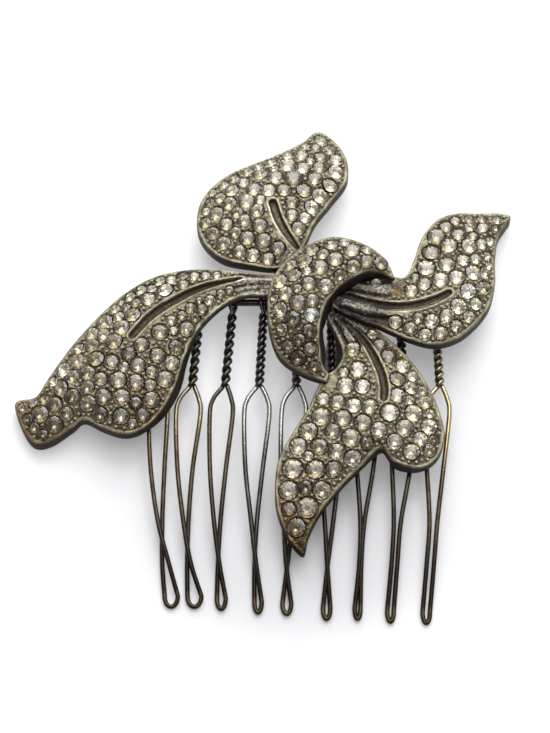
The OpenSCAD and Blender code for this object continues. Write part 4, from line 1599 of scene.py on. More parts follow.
@dataclass
class Casting:
    """One cast petal: its paved face, its rim's wall and its hollow back.

    clear: the least distance between points of the face. edge, edge_drop, wall_top, foot_rise, foot_in: the
    wall's rounded edges. TONES pairs the relief's heights with how worn the metal is.
    """

    TONES = ([-0.6, -0.36, -0.2, -0.1, 0.0, 0.06, 0.14], [0.24, 0.13, 0.18, 0.38, 0.56, 0.67, 0.82])
    KHAKI = 0.48

    chart: PetalChart
    pitch: float = 0.22
    clear: float = 0.085
    edge: float = 0.07
    rim_clear: float = 0.05
    merge: float = 1e-6
    edge_drop: float = 0.05
    wall_top: float = 0.18
    foot_rise: float = 0.07
    foot_in: float = 0.06
    vein_wear: float = 1.3
    top_wear: float = 0.12
    bare_least: float = 1.4
    wall_grain: float = 0.1
    grain_least: float = 0.22
    grain_share: float = 0.5
    wall_khaki: float = 0.2
    smooth_angle: float = 50.0

    def __post_init__(self) -> None:
        """Prepares the form, the stones' places and the relief."""
        self.form = (CurlForm if self.chart is CURL else PetalForm)(self.chart)
        self.loop = self.form.rim[:, :2] + self.form.inward * self.edge
        self.setting = PaveLayout(self.chart, self.form, self.loop).lay()
        self.relief = Relief(self.chart, self.form, self.loop, self.setting)

    @staticmethod
    def warmth(khaki: float | Array, brown: Array) -> Array:
        """Warmth of the metal from its plain share of khaki and its brown patches."""
        return khaki + (1 - khaki) * np.minimum(brown, 1.0) + np.maximum(brown - 1.0, 0.0)

    def plan(self) -> Array:
        """Plan points of the face, the outline's loop first, no two of the others too close."""
        cell = self.clear
        taken: dict[tuple[int, int], list[Pair]] = {}
        kept: list[Pair] = []

        def crowded(column: int, row: int, x: float, y: float) -> bool:
            """Whether a point is kept that is too near, in a cell or the eight round it."""
            around = ((i, j) for i in (column - 1, column, column + 1) for j in (row - 1, row, row + 1))
            return any(
                (px - x) ** 2 + (py - y) ** 2 < cell * cell for key in around for px, py in taken.get(key, ())
            )

        inner = np.concatenate([*self.relief.lines(), hex_grid(self.loop, self.pitch)])
        inner = inner[within(inner, self.loop)]
        inner = inner[line_distance(inner, self.relief.loop)[0] > self.rim_clear]
        for number, (x, y) in enumerate(np.concatenate([self.loop, inner])):
            column, row = int(x // cell), int(y // cell)
            if number < len(self.loop) or not crowded(column, row, x, y):
                taken.setdefault((column, row), []).append((x, y))
                kept.append((x, y))
        return np.array(kept)

    def face(self) -> tuple[Array, Array, list[list[int]], list[int]]:
        """The paved face's mesh."""
        n = len(self.loop)
        edges = [(i, (i + 1) % n) for i in range(n)]
        corners = [Vector(point) for point in self.plan()]
        flat, _, faces, source, _, _ = delaunay_2d_cdt(corners, edges, [], 0, self.merge, True)
        flat, faces = np.array([tuple(point) for point in flat]), np.array(faces)
        faces = faces[within(flat[faces].mean(1), self.loop)].tolist()
        number = {old: new for new, olds in enumerate(source) for old in olds}
        points, normals = self.form.sample(flat)
        height = self.relief.height(flat, points)
        points = points + normals * height[:, None]
        outline = [number[i] for i in range(n)]
        points[outline] = np.column_stack([self.loop, self.form.rim[:, 2] - self.edge_drop])
        return points, height, faces, outline

    def build(self) -> Piece:
        """Makes the casting's closed mesh with its relief stored for the material."""
        top, height, faces, upper = self.face()
        rings = self.rings()
        count, n = len(top), len(self.loop)
        points = np.concatenate([top, *rings])
        for k in range(len(rings)):
            lower = list(range(count + k * n, count + (k + 1) * n))
            for i in range(n):
                j = (i + 1) % n
                faces.append([upper[i], lower[i], lower[j], upper[j]])
            upper = lower
        faces += [[upper[i] for i in face] for face in self.form.closing()]
        piece = Workbench.from_mesh(f"{self.chart.node}_casting", points, faces)
        face_outwards(piece)
        self.dress(piece, points, np.concatenate([height, np.zeros(len(points) - count)]), count)
        Workbench.smooth(piece, self.smooth_angle)
        return piece

    def rings(self) -> list[Array]:
        """Rings of points from the rim's outer edge down, round its foot and up under the face."""
        form = self.form
        rim, foot = form.rim, form.foot

        def ring(offset: float | Array, z: Array) -> Array:
            """The rim's loop moved inwards by an offset, at heights z."""
            return np.column_stack([rim[:, :2] + form.inward * np.broadcast_to(offset, len(rim))[:, None], z])

        inner = form.at(form.inside)
        return [
            ring(0.0, rim[:, 2] - self.wall_top),
            ring(-0.5 * form.lean, (rim[:, 2] + foot) / 2),
            ring(-form.lean, foot + self.foot_rise),
            ring(self.foot_in - form.lean, foot),
            np.column_stack([inner[:, :2] - form.inward * form.lean[:, None], foot]),
            form.at(form.inside, form.wall),
            form.at((form.inside + form.hollow_end) / 2, form.wall),
            form.at(np.full(len(rim), form.hollow_end), form.wall),
        ]

    def dress(self, piece: Piece, points: Array, height: Array, top: int) -> None:
        """Stores relief, grain and warmth on the points, with painted shade in the charted dark places and,
        with patina, on the walls, and gives the casting its finish.

        Args:
            piece: The casting.
            points: Its points in millimetres.
            height: The relief's height at each point.
            top: Number of points of the face.
        """
        relief = np.interp(height, *self.TONES)
        relief[:top] += self.vein_wear * np.maximum(self.relief.veins(points[:top, :2]), 0)
        # Patina with painted shade: the walls take a low relief and so the deep colour.
        relief[top:] = self.chart.wall
        relief[top : top + len(self.loop)] += self.top_wear
        # Painted shade: the charted dark places darken the metal.
        relief *= 1 - shade(self.chart.dark, points)
        roots = [(x, y, radius, 1.0) for x, y, radius in self.chart.bare if radius > self.bare_least]
        grain = shade(roots, points)
        grain[top:] = self.wall_grain
        khaki = self.KHAKI * (1 - np.minimum(grain, 1.0))
        khaki[top:] = self.wall_khaki
        Workbench.paint(piece, "grain", self.grain_least + self.grain_share * np.minimum(grain, 1.0))
        Workbench.paint(piece, "relief", relief)
        Workbench.paint(piece, "warmth", self.warmth(khaki, shade(self.chart.brown, points)))
        piece.data.materials.append(CASTING.material())


# Stones and beads


Shape = tuple[Array, list[list[int]], list[int]]


@dataclass
class StoneCutter:
    """Cuts one round stone and one bead by operators and sets copies of them over a casting.

    The shapes are of radius 1 mm. facets: inset and rise of each ring of the crown. back: inset and depth of
    the pointed back. sink: how deep a girdle sits. shade_dimming: how much painted shade at the charted dark
    places takes from a stone's tone.
    bead_wear: how worn a bead is, and how much more for its height, which is held to bead_range.
    """

    sides: int = 12
    girdle: float = 0.08
    facets: tuple[Pair, ...] = ((0.20, 0.13), (0.24, 0.08))
    back: Pair = (0.88, -0.55)
    glass_above: float = -0.05
    sink: float = 0.12
    lean: float = 0.07
    spin: float = 6.28
    tone_spread: float = 0.11
    brightest: float = 1.2
    shade_dimming: float = 0.7
    bead_sides: tuple[int, int] = (8, 6)
    bead_foot: float = -0.45
    bead_lift: float = 0.25
    bead_wear: Pair = (0.5, 0.3)
    bead_range: Pair = (-0.4, 1.0)
    smooth_angle: float = 60.0

    def __post_init__(self) -> None:
        """Models the two shapes."""
        self.stone, self.bead = self.cut_stone(), self.cut_bead()

    def cut_stone(self) -> Shape:
        """A round stone: table, ring of crown facets, girdle and a pointed foiled back."""
        Workbench.clear()
        bpy.ops.mesh.primitive_cylinder_add(
            vertices=self.sides, radius=MM, depth=self.girdle * MM, location=(0, 0, 0)
        )
        bpy.ops.object.mode_set(mode="EDIT")
        Workbench.pick(lambda centre, normal: normal.z > LEVEL)
        for inset, rise in self.facets:
            bpy.ops.mesh.inset(thickness=inset * MM)
            bpy.ops.transform.translate(value=(0, 0, rise * MM))
        Workbench.pick(lambda centre, normal: normal.z < -LEVEL)
        bpy.ops.mesh.inset(thickness=self.back[0] * MM)
        bpy.ops.transform.translate(value=(0, 0, self.back[1] * MM))
        stone = Workbench.finish("stone")
        return self.take_down(stone, lambda normal: 0 if normal.z > self.glass_above else 1)

    def cut_bead(self) -> Shape:
        """A bead: the upper part of a small ball, closed at its foot."""
        Workbench.clear()
        segments, rings = self.bead_sides
        bpy.ops.mesh.primitive_uv_sphere_add(
            segments=segments, ring_count=rings, radius=MM, location=(0, 0, 0)
        )
        Workbench.edit()
        foot = (0, 0, self.bead_foot * MM)
        bpy.ops.mesh.bisect(plane_co=foot, plane_no=(0, 0, 1), use_fill=True, clear_inner=True)
        return self.take_down(Workbench.finish("bead"), lambda normal: 0)

    @staticmethod
    def take_down(piece: Piece, slot: Callable[[Vector], int]) -> Shape:
        """Reads a modelled shape and removes it from the scene.

        Args:
            piece: The shape.
            slot: Gives a face's material number from its normal.

        Returns:
            Its points in millimetres, its faces and their material numbers.
        """
        points = Workbench.points(piece)
        faces = [list(face.vertices) for face in piece.data.polygons]
        slots = [slot(face.normal) for face in piece.data.polygons]
        bpy.data.objects.remove(piece)
        return points, faces, slots

    @staticmethod
    def turned(normal: Array, lean: Pair, spin: float) -> Array:
        """A turn that brings +Z to a normal with a slight lean, after a spin in radians."""
        axis = Vector((normal[0] + lean[0], normal[1] + lean[1], normal[2])).normalized()
        return np.array(axis.to_track_quat("Z", "Y").to_matrix() @ Matrix.Rotation(spin, 3, "Z"))

    @staticmethod
    def copied(faces: list[list[int]], size: int, count: int) -> list[list[int]]:
        """Faces of a count of copies of a shape, whose points follow each other."""
        return [[base + i for i in face] for base in range(0, count * size, size) for face in faces]

    def set_stones(self, casting: Casting) -> Piece:
        """Sets the stones of one casting as one piece of glass and foil.

        Args:
            casting: The casting.

        Returns:
            The piece.
        """
        source = random.Random(casting.chart.seed + 1)
        stones = casting.setting.stones
        places, normals = casting.form.sample(stones[:, :2])
        shape, faces, slots = self.stone
        points, tones = [], []
        # Painted shade: stones in the charted dark places are painted dimmer.
        dull = 1 - self.shade_dimming * np.clip(shade(casting.chart.dark, places), 0, 1)
        for (_, _, radius, tone), place, normal, left in zip(stones, places, normals, dull):
            lean = (source.gauss(0, self.lean), source.gauss(0, self.lean))
            turn = self.turned(normal, lean, source.uniform(0, self.spin))
            points.append((shape * radius) @ turn.T + place - normal * self.sink)
            for _ in shape:
                tones.append(min(self.brightest, max(0.0, tone * left + source.gauss(0, self.tone_spread))))
        every = np.concatenate(points)
        piece = Workbench.from_mesh(
            f"{casting.chart.node}_stones", every, self.copied(faces, len(shape), len(stones))
        )
        piece.data.materials.append(GlassFinish().material())
        piece.data.materials.append(FoilFinish().material())
        piece.data.polygons.foreach_set("material_index", slots * len(stones))
        Workbench.paint(piece, "tone", tones)
        Workbench.paint(piece, "warmth", shade(casting.chart.brown, every))
        return piece

    def set_beads(self, casting: Casting) -> Piece:
        """Sets the beads of one casting as one piece.

        Args:
            casting: The casting.

        Returns:
            The piece.
        """
        source = random.Random(casting.chart.seed + 2)
        beads = casting.setting.beads
        places, normals = casting.form.sample(beads[:, :2])
        shape, faces, _ = self.bead
        points = []
        for (_, _, radius), place, normal in zip(beads, places, normals):
            turn = self.turned(normal, (0.0, 0.0), source.uniform(0, self.spin))
            rise = Relief.FIELD + radius * self.bead_lift
            points.append((shape * radius) @ turn.T + place + normal * rise)
        every = np.concatenate(points)
        piece = Workbench.from_mesh(
            f"{casting.chart.node}_beads", every, self.copied(faces, len(shape), len(beads))
        )
        wear, more = self.bead_wear
        relief = wear + more * np.tile(np.clip(shape[:, 2], *self.bead_range), len(beads))
        warmth = casting.warmth(casting.KHAKI, shade(casting.chart.brown, every))
        Workbench.dress(piece, CASTING, relief, warmth, self.smooth_angle)
        return piece


# The comb


class Tint(Enum):
    """The tint that a tooth's wire shows: how much brass, and how bright."""

    GOLD = (1.0, 1.0)
    BRASS = (0.85, 0.80)
    BRONZE = (0.5, 0.66)
    STEEL = (0.1, 0.84)
    SILVER = (0.02, 0.88)


@dataclass(frozen=True)
class ToothChart:
    """One hairpin tooth, in millimetres.

    bar_x, split_x: where it meets the bar and where its strands part. turns: turns of its twist.
    tip_y: its tip. crosses: 1 where its legs cross, 0 where not. left, right: x of each leg at the rows of
    leg_y in CombSizes and at the tip's bend.
    """

    bar_x: float
    split_x: float
    turns: int
    tip_y: float
    crosses: int
    tint: Tint
    left: Sequence[float]
    right: Sequence[float]


TEETH = [
    ToothChart(*row)
    for row in (
        (-14.2, -15.1, 4, -34.7, 1, Tint.BRASS,
         [-16.5, -16.1, -15.0, -13.4, -12.1], [-13.9, -14.2, -14.4, -14.3, -13.9]),
        (-9.5, -10.5, 4, -34.7, 1, Tint.BRASS,
         [-12.7, -12.4, -11.5, -10.4, -8.9], [-9.3, -10.3, -10.8, -10.9, -10.8]),
        (-4.9, -5.9, 4, -35.0, 1, Tint.BRONZE,
         [-8.0, -7.9, -7.3, -6.5, -5.6], [-4.8, -5.7, -6.4, -6.7, -6.8]),
        (-0.5, -1.1, 5, -35.5, 1, Tint.STEEL,
         [-3.2, -3.0, -2.2, -1.5, -0.7], [0.3, -0.6, -1.4, -1.7, -1.7]),
        (4.3, 4.1, 5, -35.7, 1, Tint.SILVER,
         [2.0, 1.9, 2.3, 2.6, 3.3], [5.4, 4.4, 3.5, 2.8, 2.1]),
        (9.0, 9.2, 5, -36.4, 1, Tint.BRONZE,
         [7.0, 7.4, 7.9, 8.2, 8.6], [10.6, 10.0, 9.1, 8.3, 7.6]),
        (13.9, 14.1, 5, -36.4, 1, Tint.BRONZE,
         [12.0, 12.4, 12.8, 12.6, 11.9], [15.6, 14.7, 13.4, 12.9, 12.7]),
        (18.8, 19.1, 5, -36.8, 0, Tint.BRONZE,
         [17.1, 17.3, 17.4, 17.0, 16.3], [20.7, 19.8, 18.4, 17.8, 17.2]),
        (23.8, 24.2, 5, -37.0, 0, Tint.GOLD,
         [22.0, 22.1, 22.3, 21.8, 21.1], [25.4, 24.4, 23.4, 22.8, 22.1]),
    )
]


@dataclass(frozen=True)
class CombSizes:
    """Sizes of the bar and the wire, in millimetres and degrees."""

    wire_r: float = 0.335
    strand_r: float = 0.36
    bar_r: float = 0.5
    bar_y: float = 9.2
    bar_z: float = 3.6
    bar_x0: float = -15.8
    bar_x1: float = 25.4
    bar_sides: int = 32
    bar_bevel: float = 0.14
    end_part: float = 0.3
    wrap_gap: float = 0.06
    wrap_x: float = 0.4
    wrap_turns: tuple[int, int, int] = (-80, 121, 20)
    twist_top: float = 1.7
    twist_start: float = 90.0
    twist_more: float = 90.0
    split_y: float = -3.5
    shoulder_y: float = -5.2
    shoulder_part: float = 0.72
    sag: float = 0.75
    cross_lift: float = 0.38
    tip_bend: float = 1.4
    tip_turns: tuple[int, int, int] = (12, 180, 12)
    leg_lift: tuple[float, ...] = (0, 0.4, 1, 1, 0.3)
    leg_y: tuple[float, ...] = (-7.6, -15.3, -22.8, -28.8)
    leg_steps: int = 8
    steps_per_turn: int = 16


@dataclass(frozen=True)
class WireWear:
    """How light and how brassy a tooth is along its length, with a painted highlight on the bend at its tip.

    fall: y where the wire starts to grow lighter towards the bar, and over what length. tip_glint_fade: how
    far above the tip the painted highlight on the bend starts, and over what length it comes in. twist: what
    the
    twist keeps of the lightness. brass: strength of the brass at brass_y, and the least one.
    """

    least: float = 0.14
    fall: Pair = (-32.0, 24.0)
    twist: float = 0.8
    # Painted highlight on the bend at the tip.
    tip_glint_fade: Pair = (3.2, -2.0)
    tip_glint_relief: float = 0.5
    tip_glint_warmth: float = 0.8
    brass_y: float = -12.0
    reach: float = 15.0
    gold_reach: float = 22.0
    brass: Pair = (1.1, 0.1)


@dataclass(frozen=True)
class Tooth:
    """One wire of the comb, from its wrap on the bar through twist and legs back to the bar."""

    number: int
    chart: ToothChart
    sizes: CombSizes
    wear: WireWear = WireWear()
    smooth_angle: float = 60.0

    def middle_z(self, y: float) -> float:
        """Height of the tooth's middle line.

        Args:
            y: A place along the tooth.

        Returns:
            The height there.
        """
        s = self.sizes
        part = max(0.0, (y - self.chart.tip_y) / (s.bar_y - self.chart.tip_y))
        return s.wire_r + (s.bar_z - s.wire_r) * part**s.sag

    def leg(self, xs: Sequence[float], side: int) -> Array:
        """A leg from below the twist to the bend at the tip.

        Args:
            xs: Its x at each row.
            side: -1 for the left leg and 1 for the right one.

        Returns:
            Its points.
        """
        s, c = self.sizes, self.chart
        start = c.split_x + side * s.strand_r
        rows = [
            [start, s.split_y, self.middle_z(s.split_y)],
            [start + (xs[0] - start) * s.shoulder_part, s.shoulder_y, self.middle_z(s.shoulder_y)],
        ]
        rows += [
            [x, y, self.middle_z(y) - side * lift * s.cross_lift * c.crosses]
            for x, y, lift in zip(xs, [*s.leg_y, c.tip_y + s.tip_bend], s.leg_lift)
        ]
        return open_curve(rows, s.leg_steps)

    def tip(self, start: Array, end: Array) -> Array:
        """The round bend between the ends of the legs.

        Args:
            start, end: The legs' last points.

        Returns:
            The bend's points between them.
        """
        a = np.radians(np.arange(*self.sizes.tip_turns))[:, None]
        x = start[0] + (end[0] - start[0]) * (1 - np.cos(a)) / 2
        y = start[1] + (self.chart.tip_y - start[1]) * np.sin(a)
        z = start[2] + (end[2] - start[2]) * a / math.pi
        return np.hstack([x, y, z + (self.sizes.wire_r - z) * np.sin(a)])

    def strand(self, side: int) -> Array:
        """A strand of the twist, from the bar down to where the strands part.

        Args:
            side: -1 for the left leg's strand and 1 for the right one's.

        Returns:
            Its points.
        """
        s, c = self.sizes, self.chart
        sweep = c.turns * 360 + s.twist_more
        steps = round(sweep / 360 * s.steps_per_turn)
        f = np.arange(steps)[:, None] / steps
        a = np.radians(s.twist_start + sweep * f)
        top_y = s.bar_y - s.twist_top
        top = np.array([c.bar_x, top_y, self.middle_z(top_y)])
        split = np.array([c.split_x, s.split_y, self.middle_z(s.split_y)])
        turn = np.hstack([np.cos(a), np.zeros_like(a), np.sin(a)])
        return top + (split - top) * f - side * s.strand_r * turn

    def wrap(self, side: int) -> Array:
        """The end of a strand, wrapped round the bar from below or above.

        Args:
            side: -1 for the left leg's strand and 1 for the right one's.

        Returns:
            Its points.
        """
        s = self.sizes
        radius = s.bar_r + s.wire_r + s.wrap_gap
        a = np.radians(np.arange(*s.wrap_turns))[:, None]
        x = np.full_like(a, self.chart.bar_x + side * s.wrap_x)
        return np.hstack([x, s.bar_y + radius * np.cos(a), s.bar_z - side * radius * np.sin(a)])

    def path(self) -> Array:
        """The whole wire from end to end."""
        left, right = self.leg(self.chart.left, -1), self.leg(self.chart.right, 1)
        there = [self.wrap(-1), self.strand(-1), left, self.tip(left[-1], right[-1])]
        return np.concatenate([*there, right[::-1], self.strand(1)[::-1], self.wrap(1)[::-1]])

    def build(self) -> Piece:
        """Makes the wire as a bevelled curve turned into a mesh, and dresses it."""
        path = self.path() * MM
        data = bpy.data.curves.new(f"tooth_{self.number}_wire", "CURVE")
        data.dimensions = "3D"
        data.bevel_depth = self.sizes.wire_r * MM
        data.bevel_resolution = 2
        data.use_fill_caps = True
        spline = data.splines.new("POLY")
        spline.points.add(len(path) - 1)
        spline.points.foreach_set("co", np.column_stack([path, np.ones(len(path))]).ravel())
        piece = bpy.data.objects.new(data.name, data)
        bpy.context.scene.collection.objects.link(piece)
        Workbench.take(piece)
        bpy.ops.object.convert(target="MESH")
        Workbench.edit()
        bpy.ops.mesh.remove_doubles(threshold=MERGED * MM)
        bpy.ops.mesh.normals_make_consistent(inside=False)
        piece = Workbench.finish(data.name)
        relief, warmth = self.worn(Workbench.points(piece)[:, 1])
        Workbench.dress(piece, WIRE, relief, warmth, self.smooth_angle)
        return piece

    def worn(self, y: Array) -> tuple[Array, Array]:
        """How the wire has aged, with a painted highlight on the bend at its tip.

        Args:
            y: Places along the tooth.

        Returns:
            Relief and warmth at each place.
        """
        wear, (brass, bright) = self.wear, self.chart.tint.value
        fall = fade(y, *wear.fall) * np.where(y > self.sizes.split_y, wear.twist, 1.0)
        # Painted highlight: the bend at the tip is painted lighter and brassier to stand in for its glints.
        tip = fade(y, self.chart.tip_y + wear.tip_glint_fade[0], wear.tip_glint_fade[1])
        relief = np.maximum(wear.least + (bright - wear.least) * fall, wear.tip_glint_relief * tip)
        reach = wear.gold_reach if self.chart.tint is Tint.GOLD else wear.reach
        middle, least = wear.brass
        warmth = brass * np.clip(middle - np.abs(y - wear.brass_y) / reach, least, 1)
        return relief, np.maximum(warmth, wear.tip_glint_warmth * tip)


@dataclass(frozen=True)
class Comb:
    """The bar and its nine teeth."""

    sizes: CombSizes = CombSizes()
    bar_relief: float = 0.5
    bar_warmth: float = 0.25
    smooth_angle: float = 50.0

    def bar(self) -> Piece:
        """The straight bar, its ends rounded by a bevel."""
        s = self.sizes
        length = s.bar_x1 - s.bar_x0
        Workbench.clear()
        bpy.ops.mesh.primitive_cylinder_add(
            vertices=s.bar_sides,
            radius=s.bar_r * MM,
            depth=length * MM,
            location=((s.bar_x0 + s.bar_x1) / 2 * MM, s.bar_y * MM, s.bar_z * MM),
            rotation=(0, math.pi / 2, 0),
        )
        bpy.ops.object.mode_set(mode="EDIT")
        end = s.end_part * length * MM
        Workbench.pick(lambda centre, normal: abs(normal.z) > LEVEL and abs(centre.z) > end)
        bpy.ops.mesh.bevel(offset=s.bar_bevel * MM, segments=3, affect="EDGES")
        piece = Workbench.finish("comb_bar_rod")
        Workbench.dress(piece, WIRE, self.bar_relief, self.bar_warmth, self.smooth_angle)
        return piece

    def build(self) -> list[Piece]:
        """Makes the bar and the teeth and hides their CAD nodes."""
        bar = self.bar()
        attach(bar, "root")
        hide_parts("comb_bar")
        made = [bar]
        for number, chart in enumerate(TEETH, start=1):
            piece = Tooth(number, chart, self.sizes).build()
            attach(piece, "root")
            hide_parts(f"tooth_{number}")
            made.append(piece)
        return made


@dataclass(frozen=True)
class MountingStrip:
    """The hidden strip that the petals are soldered to: plate, tongues and posts, in a near-black finish that
    is painted shade.

    Tongues are x, y, width and length from their low corners, and posts are x, y and the height of the top.
    """

    x0: float = -12.0
    x1: float = 22.0
    y0: float = 9.2
    width: float = 2.4
    z: float = 4.91
    thickness: float = 0.35
    tongues: tuple[tuple[float, float, float, float], ...] = ((1.0, 10.0, 3.2, 5.2), (9.4, 4.4, 2.8, 5.6))
    posts: tuple[tuple[float, float, float], ...] = ((2.6, 14.0, 5.5), (12.6, 9.3, 6.4), (18.1, 9.2, 6.5))
    bevel: float = 0.08
    post_r: float = 0.8
    post_foot: float = 0.05
    post_sides: int = 24
    post_inset: float = 0.12
    relief: float = 0.5
    smooth_angle: float = 40.0

    def plate(self, x: float, y: float, width: float, length: float) -> Piece:
        """A flat plate with softened edges.

        Args:
            x, y: Its low corner.
            width, length: Its sides along x and y.

        Returns:
            The plate.
        """
        Workbench.clear()
        bpy.ops.mesh.primitive_cube_add(
            size=1,
            location=((x + width / 2) * MM, (y + length / 2) * MM, (self.z + self.thickness / 2) * MM),
            scale=(width * MM, length * MM, self.thickness * MM),
        )
        bpy.ops.object.transform_apply(location=True, rotation=True, scale=True)
        Workbench.edit()
        bpy.ops.mesh.bevel(offset=self.bevel * MM, segments=2, affect="EDGES")
        return Workbench.finish("plate")

    def post(self, x: float, y: float, top: float) -> Piece:
        """A solder post.

        Args:
            x, y: Its place.
            top: The height of its top.

        Returns:
            The post.
        """
        low = self.z + self.post_foot
        Workbench.clear()
        bpy.ops.mesh.primitive_cylinder_add(
            vertices=self.post_sides,
            radius=self.post_r * MM,
            depth=(top - low) * MM,
            location=(x * MM, y * MM, (top + low) / 2 * MM),
        )
        bpy.ops.object.mode_set(mode="EDIT")
        Workbench.pick(lambda centre, normal: normal.z > LEVEL)
        bpy.ops.mesh.inset(thickness=self.post_inset * MM)
        return Workbench.finish("post")

    def build(self) -> Piece:
        """Makes the strip as one piece and hides its CAD node."""
        parts = [self.plate(self.x0, self.y0, self.x1 - self.x0, self.width)]
        parts += [self.plate(*tongue) for tongue in self.tongues]
        parts += [self.post(*post) for post in self.posts]
        piece = Workbench.join("mounting_strip_plate", parts)
        # Painted shade: the strip's near-black finish.
        Workbench.dress(piece, SHADED_STRIP, self.relief, 0.0, self.smooth_angle)
        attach(piece, "root")
        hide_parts("mounting_strip")
        return piece


# Floor, light and camera


@dataclass(frozen=True)
class TableFinish(Finish):
    """A pale matt table that glows a little, as an overexposed one does, with painted shadow round the comb,
    between the teeth and in the hole by the curl, and a painted pool of light round the twists.

    The ovals are centre, reach, and the shares of the reach where one begins to give way and where it ends.
    """

    name: str = "pale table"
    # Painted shadow round the comb, between the teeth and in the hole by the curl, and a painted pool of
    # light round the twists.
    comb_shadow: Oval = ((4.0, -14.0), (38.0, 36.0), 0.5, 1.1)
    teeth: Oval = ((4.0, -27.0), (25.0, 17.0), 0.45, 1.1)
    hole_shadow: Oval = ((9.2, 0.5), (2.2, 4.5), 0.7, 1.0)
    lit_pool: Oval = ((-5.0, 1.0), (12.0, 11.0), 0.4, 1.0)
    # Painted shadow: the colour and glow near the comb and between the teeth are lower than away from it.
    near: Colour = (0.38, 0.38, 0.388)
    away: Colour = (0.42, 0.42, 0.425)
    teeth_shadow_glow: Colour = (0.12, 0.12, 0.121)
    shaded_near_glow: Colour = (0.25, 0.25, 0.252)
    lit_pool_glow: Colour = (0.40, 0.40, 0.404)
    hole_shadow_glow: Colour = (0.0, 0.0, 0.0)
    away_glow: Colour = (0.36, 0.36, 0.36)
    roughness: float = 0.9

    def wire_up(self, wire: Wiring, shader: bpy.types.Node) -> None:
        """Wires the table's colour and glow, with their painted shadows and painted pool of light."""
        # Painted shadow: darker colour and less glow round the comb.
        comb_shadow = wire.patch(self.comb_shadow)
        wire.feed(shader.inputs["Base Color"], wire.mix(comb_shadow, rgba(self.near), rgba(self.away)))
        # Painted shadow between the teeth and in the hole by the curl, and a painted pool of light round the
        # twists.
        glow = wire.mix(wire.patch(self.teeth), rgba(self.teeth_shadow_glow), rgba(self.shaded_near_glow))
        glow = wire.mix(wire.patch(self.lit_pool), rgba(self.lit_pool_glow), glow)
        glow = wire.mix(wire.patch(self.hole_shadow), rgba(self.hole_shadow_glow), glow)
        wire.feed(shader.inputs["Emission Color"], wire.mix(comb_shadow, glow, rgba(self.away_glow)))
        shader.inputs["Roughness"].default_value = self.roughness
        shader.inputs["Specular IOR Level"].default_value = 0.0
        shader.inputs["Emission Strength"].default_value = 1.0


@dataclass(frozen=True)
class Sky:
    """The dim room round the comb, brighter beyond the top of the picture than on the viewer's side.

    slope: how y and z of a direction add up to its place in the greys. viewer: where and how much the
    viewer darkens the room about the camera. seen: what the camera itself sees.
    """

    slope: Pair = (0.6, 0.1)
    span: float = 0.6
    greys: tuple[tuple[float, Colour], ...] = (
        (0.0, (0.22, 0.22, 0.23)),
        (0.5, (0.40, 0.40, 0.41)),
        (1.0, (1.05, 1.05, 1.04)),
    )
    viewer: tuple[float, float, float, float] = (0.78, 0.98, 0.0, 0.75)
    viewer_grey: Colour = (0.07, 0.07, 0.075)
    seen: Colour = (0.93, 0.93, 0.94)

    def build(self) -> None:
        """Makes the world and its colours."""
        world = bpy.data.worlds.new("room")
        world.use_nodes = True
        wire = Wiring(world.node_tree)
        background = world.node_tree.nodes["Background"]
        axes = wire.add("ShaderNodeSeparateXYZ")
        wire.feed(axes.inputs[0], wire.add("ShaderNodeTexCoord").outputs["Generated"])

        def slanted(y: float, z: float) -> Socket:
            """A direction's y and z, each times a number, added up."""
            return wire.plus(wire.math("MULTIPLY", axes.outputs["Y"], y), axes.outputs["Z"], z)

        room = wire.ramp(wire.spread(slanted(*self.slope), -self.span, self.span), self.greys)
        room = wire.mix(wire.spread(slanted(*TO_CAMERA[1:]), *self.viewer), room, rgba(self.viewer_grey))
        seen = wire.add("ShaderNodeLightPath").outputs["Is Camera Ray"]
        wire.feed(background.inputs["Color"], wire.mix(seen, room, rgba(self.seen)))
        background.inputs["Strength"].default_value = 1.0
        bpy.context.scene.world = world


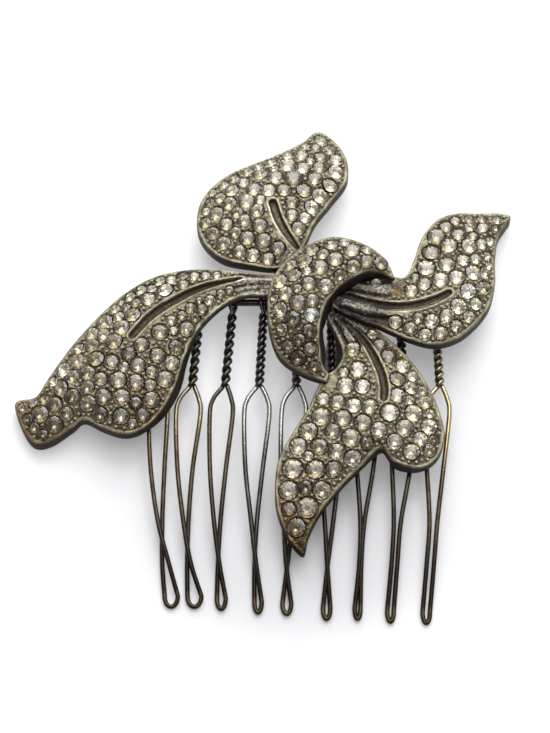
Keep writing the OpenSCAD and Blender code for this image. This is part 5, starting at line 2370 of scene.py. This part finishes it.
@dataclass(frozen=True)
class Studio:
    """A pale table under soft light, seen at the photograph's angle.

    Sizes of the camera are in millimetres and degrees. The table's side and height and the lamps' places
    and sides are in metres, and their power in watts.
    """

    elevation: float = 67.0
    distance: float = 330.0
    look: tuple[float, float, float] = (1.1, -0.8, 4.0)
    mm_per_pixel: float = 0.14
    picture_height: int = 733
    sensor: float = 36.0
    clip: Pair = (0.01, 5.0)
    table_side: float = 4.0
    table_z: float = -0.00002
    lamps: tuple[tuple[str, tuple[float, float, float], float, float], ...] = (
        ("window", (0.05, 0.55, 0.45), 0.7, 9.0),
        ("overhead", (0.12, 0.10, 0.8), 0.8, 6.0),
    )

    def camera(self) -> None:
        """Places the camera so that a pixel in the picture's middle spans mm_per_pixel."""
        data = bpy.data.cameras.new("camera")
        data.sensor_width = self.sensor
        data.lens = self.distance / self.mm_per_pixel / self.picture_height * self.sensor
        data.clip_start, data.clip_end = self.clip
        lift = math.radians(self.elevation)
        camera = bpy.data.objects.new("camera", data)
        camera.location = (
            self.look[0] * MM,
            (self.look[1] - self.distance * math.cos(lift)) * MM,
            (self.look[2] + self.distance * math.sin(lift)) * MM,
        )
        camera.rotation_euler = (math.pi / 2 - lift, 0, 0)
        bpy.context.scene.collection.objects.link(camera)
        bpy.context.scene.camera = camera

    def floor(self) -> None:
        """Makes a wide pale table, just below the comb."""
        Workbench.clear()
        bpy.ops.mesh.primitive_plane_add(size=self.table_side, location=(0, 0, self.table_z))
        floor = Workbench.finish("table")
        floor.data.materials.append(TableFinish().material())

    def lamp(self, name: str, place: tuple[float, float, float], size: float, power: float) -> None:
        """A square soft light that faces the comb.

        Args:
            name: Its name.
            place: Where it is, in metres.
            size: Its side, in metres.
            power: Its strength in watts.
        """
        data = bpy.data.lights.new(name, "AREA")
        data.shape, data.size, data.energy = "SQUARE", size, power
        lamp = bpy.data.objects.new(name, data)
        lamp.location = place
        lamp.rotation_euler = (-Vector(place)).to_track_quat("-Z", "Y").to_euler()
        bpy.context.scene.collection.objects.link(lamp)

    def build(self) -> None:
        """Sets up the camera, the floor, the lights and the way that colours are shown."""
        self.camera()
        self.floor()
        Sky().build()
        for lamp in self.lamps:
            self.lamp(*lamp)
        bpy.context.scene.view_settings.view_transform = "Standard"
        bpy.context.scene.view_settings.look = "None"


def report(piece: Piece) -> None:
    """Logs a finished piece with its faces and open edges."""
    LOG.info("%s: %d faces, %d open edges", piece.name, len(piece.data.polygons), open_edges(piece))


def build_castings() -> None:
    """Makes the five castings with their stones and beads."""
    cutter = StoneCutter()
    for chart in (UPPER, LEFT, CURL, RIGHT, LOWER):
        casting = Casting(chart)
        body = casting.build()
        stones = cutter.set_stones(casting)
        beads = cutter.set_beads(casting)
        for piece in (body, stones, beads):
            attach(piece, "root")
        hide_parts(chart.node)
        setting = casting.setting
        LOG.info("%s: %d stones, %d beads", chart.node, len(setting.stones), len(setting.beads))
        for piece in (body, stones, beads):
            report(piece)


def main() -> None:
    """Builds the comb and its studio in order."""
    logging.basicConfig(level=logging.INFO, format="%(name)s: %(message)s")
    Studio().build()
    build_castings()
    report(MountingStrip().build())
    for piece in Comb().build():
        report(piece)


if __name__ == "__main__":
    main()
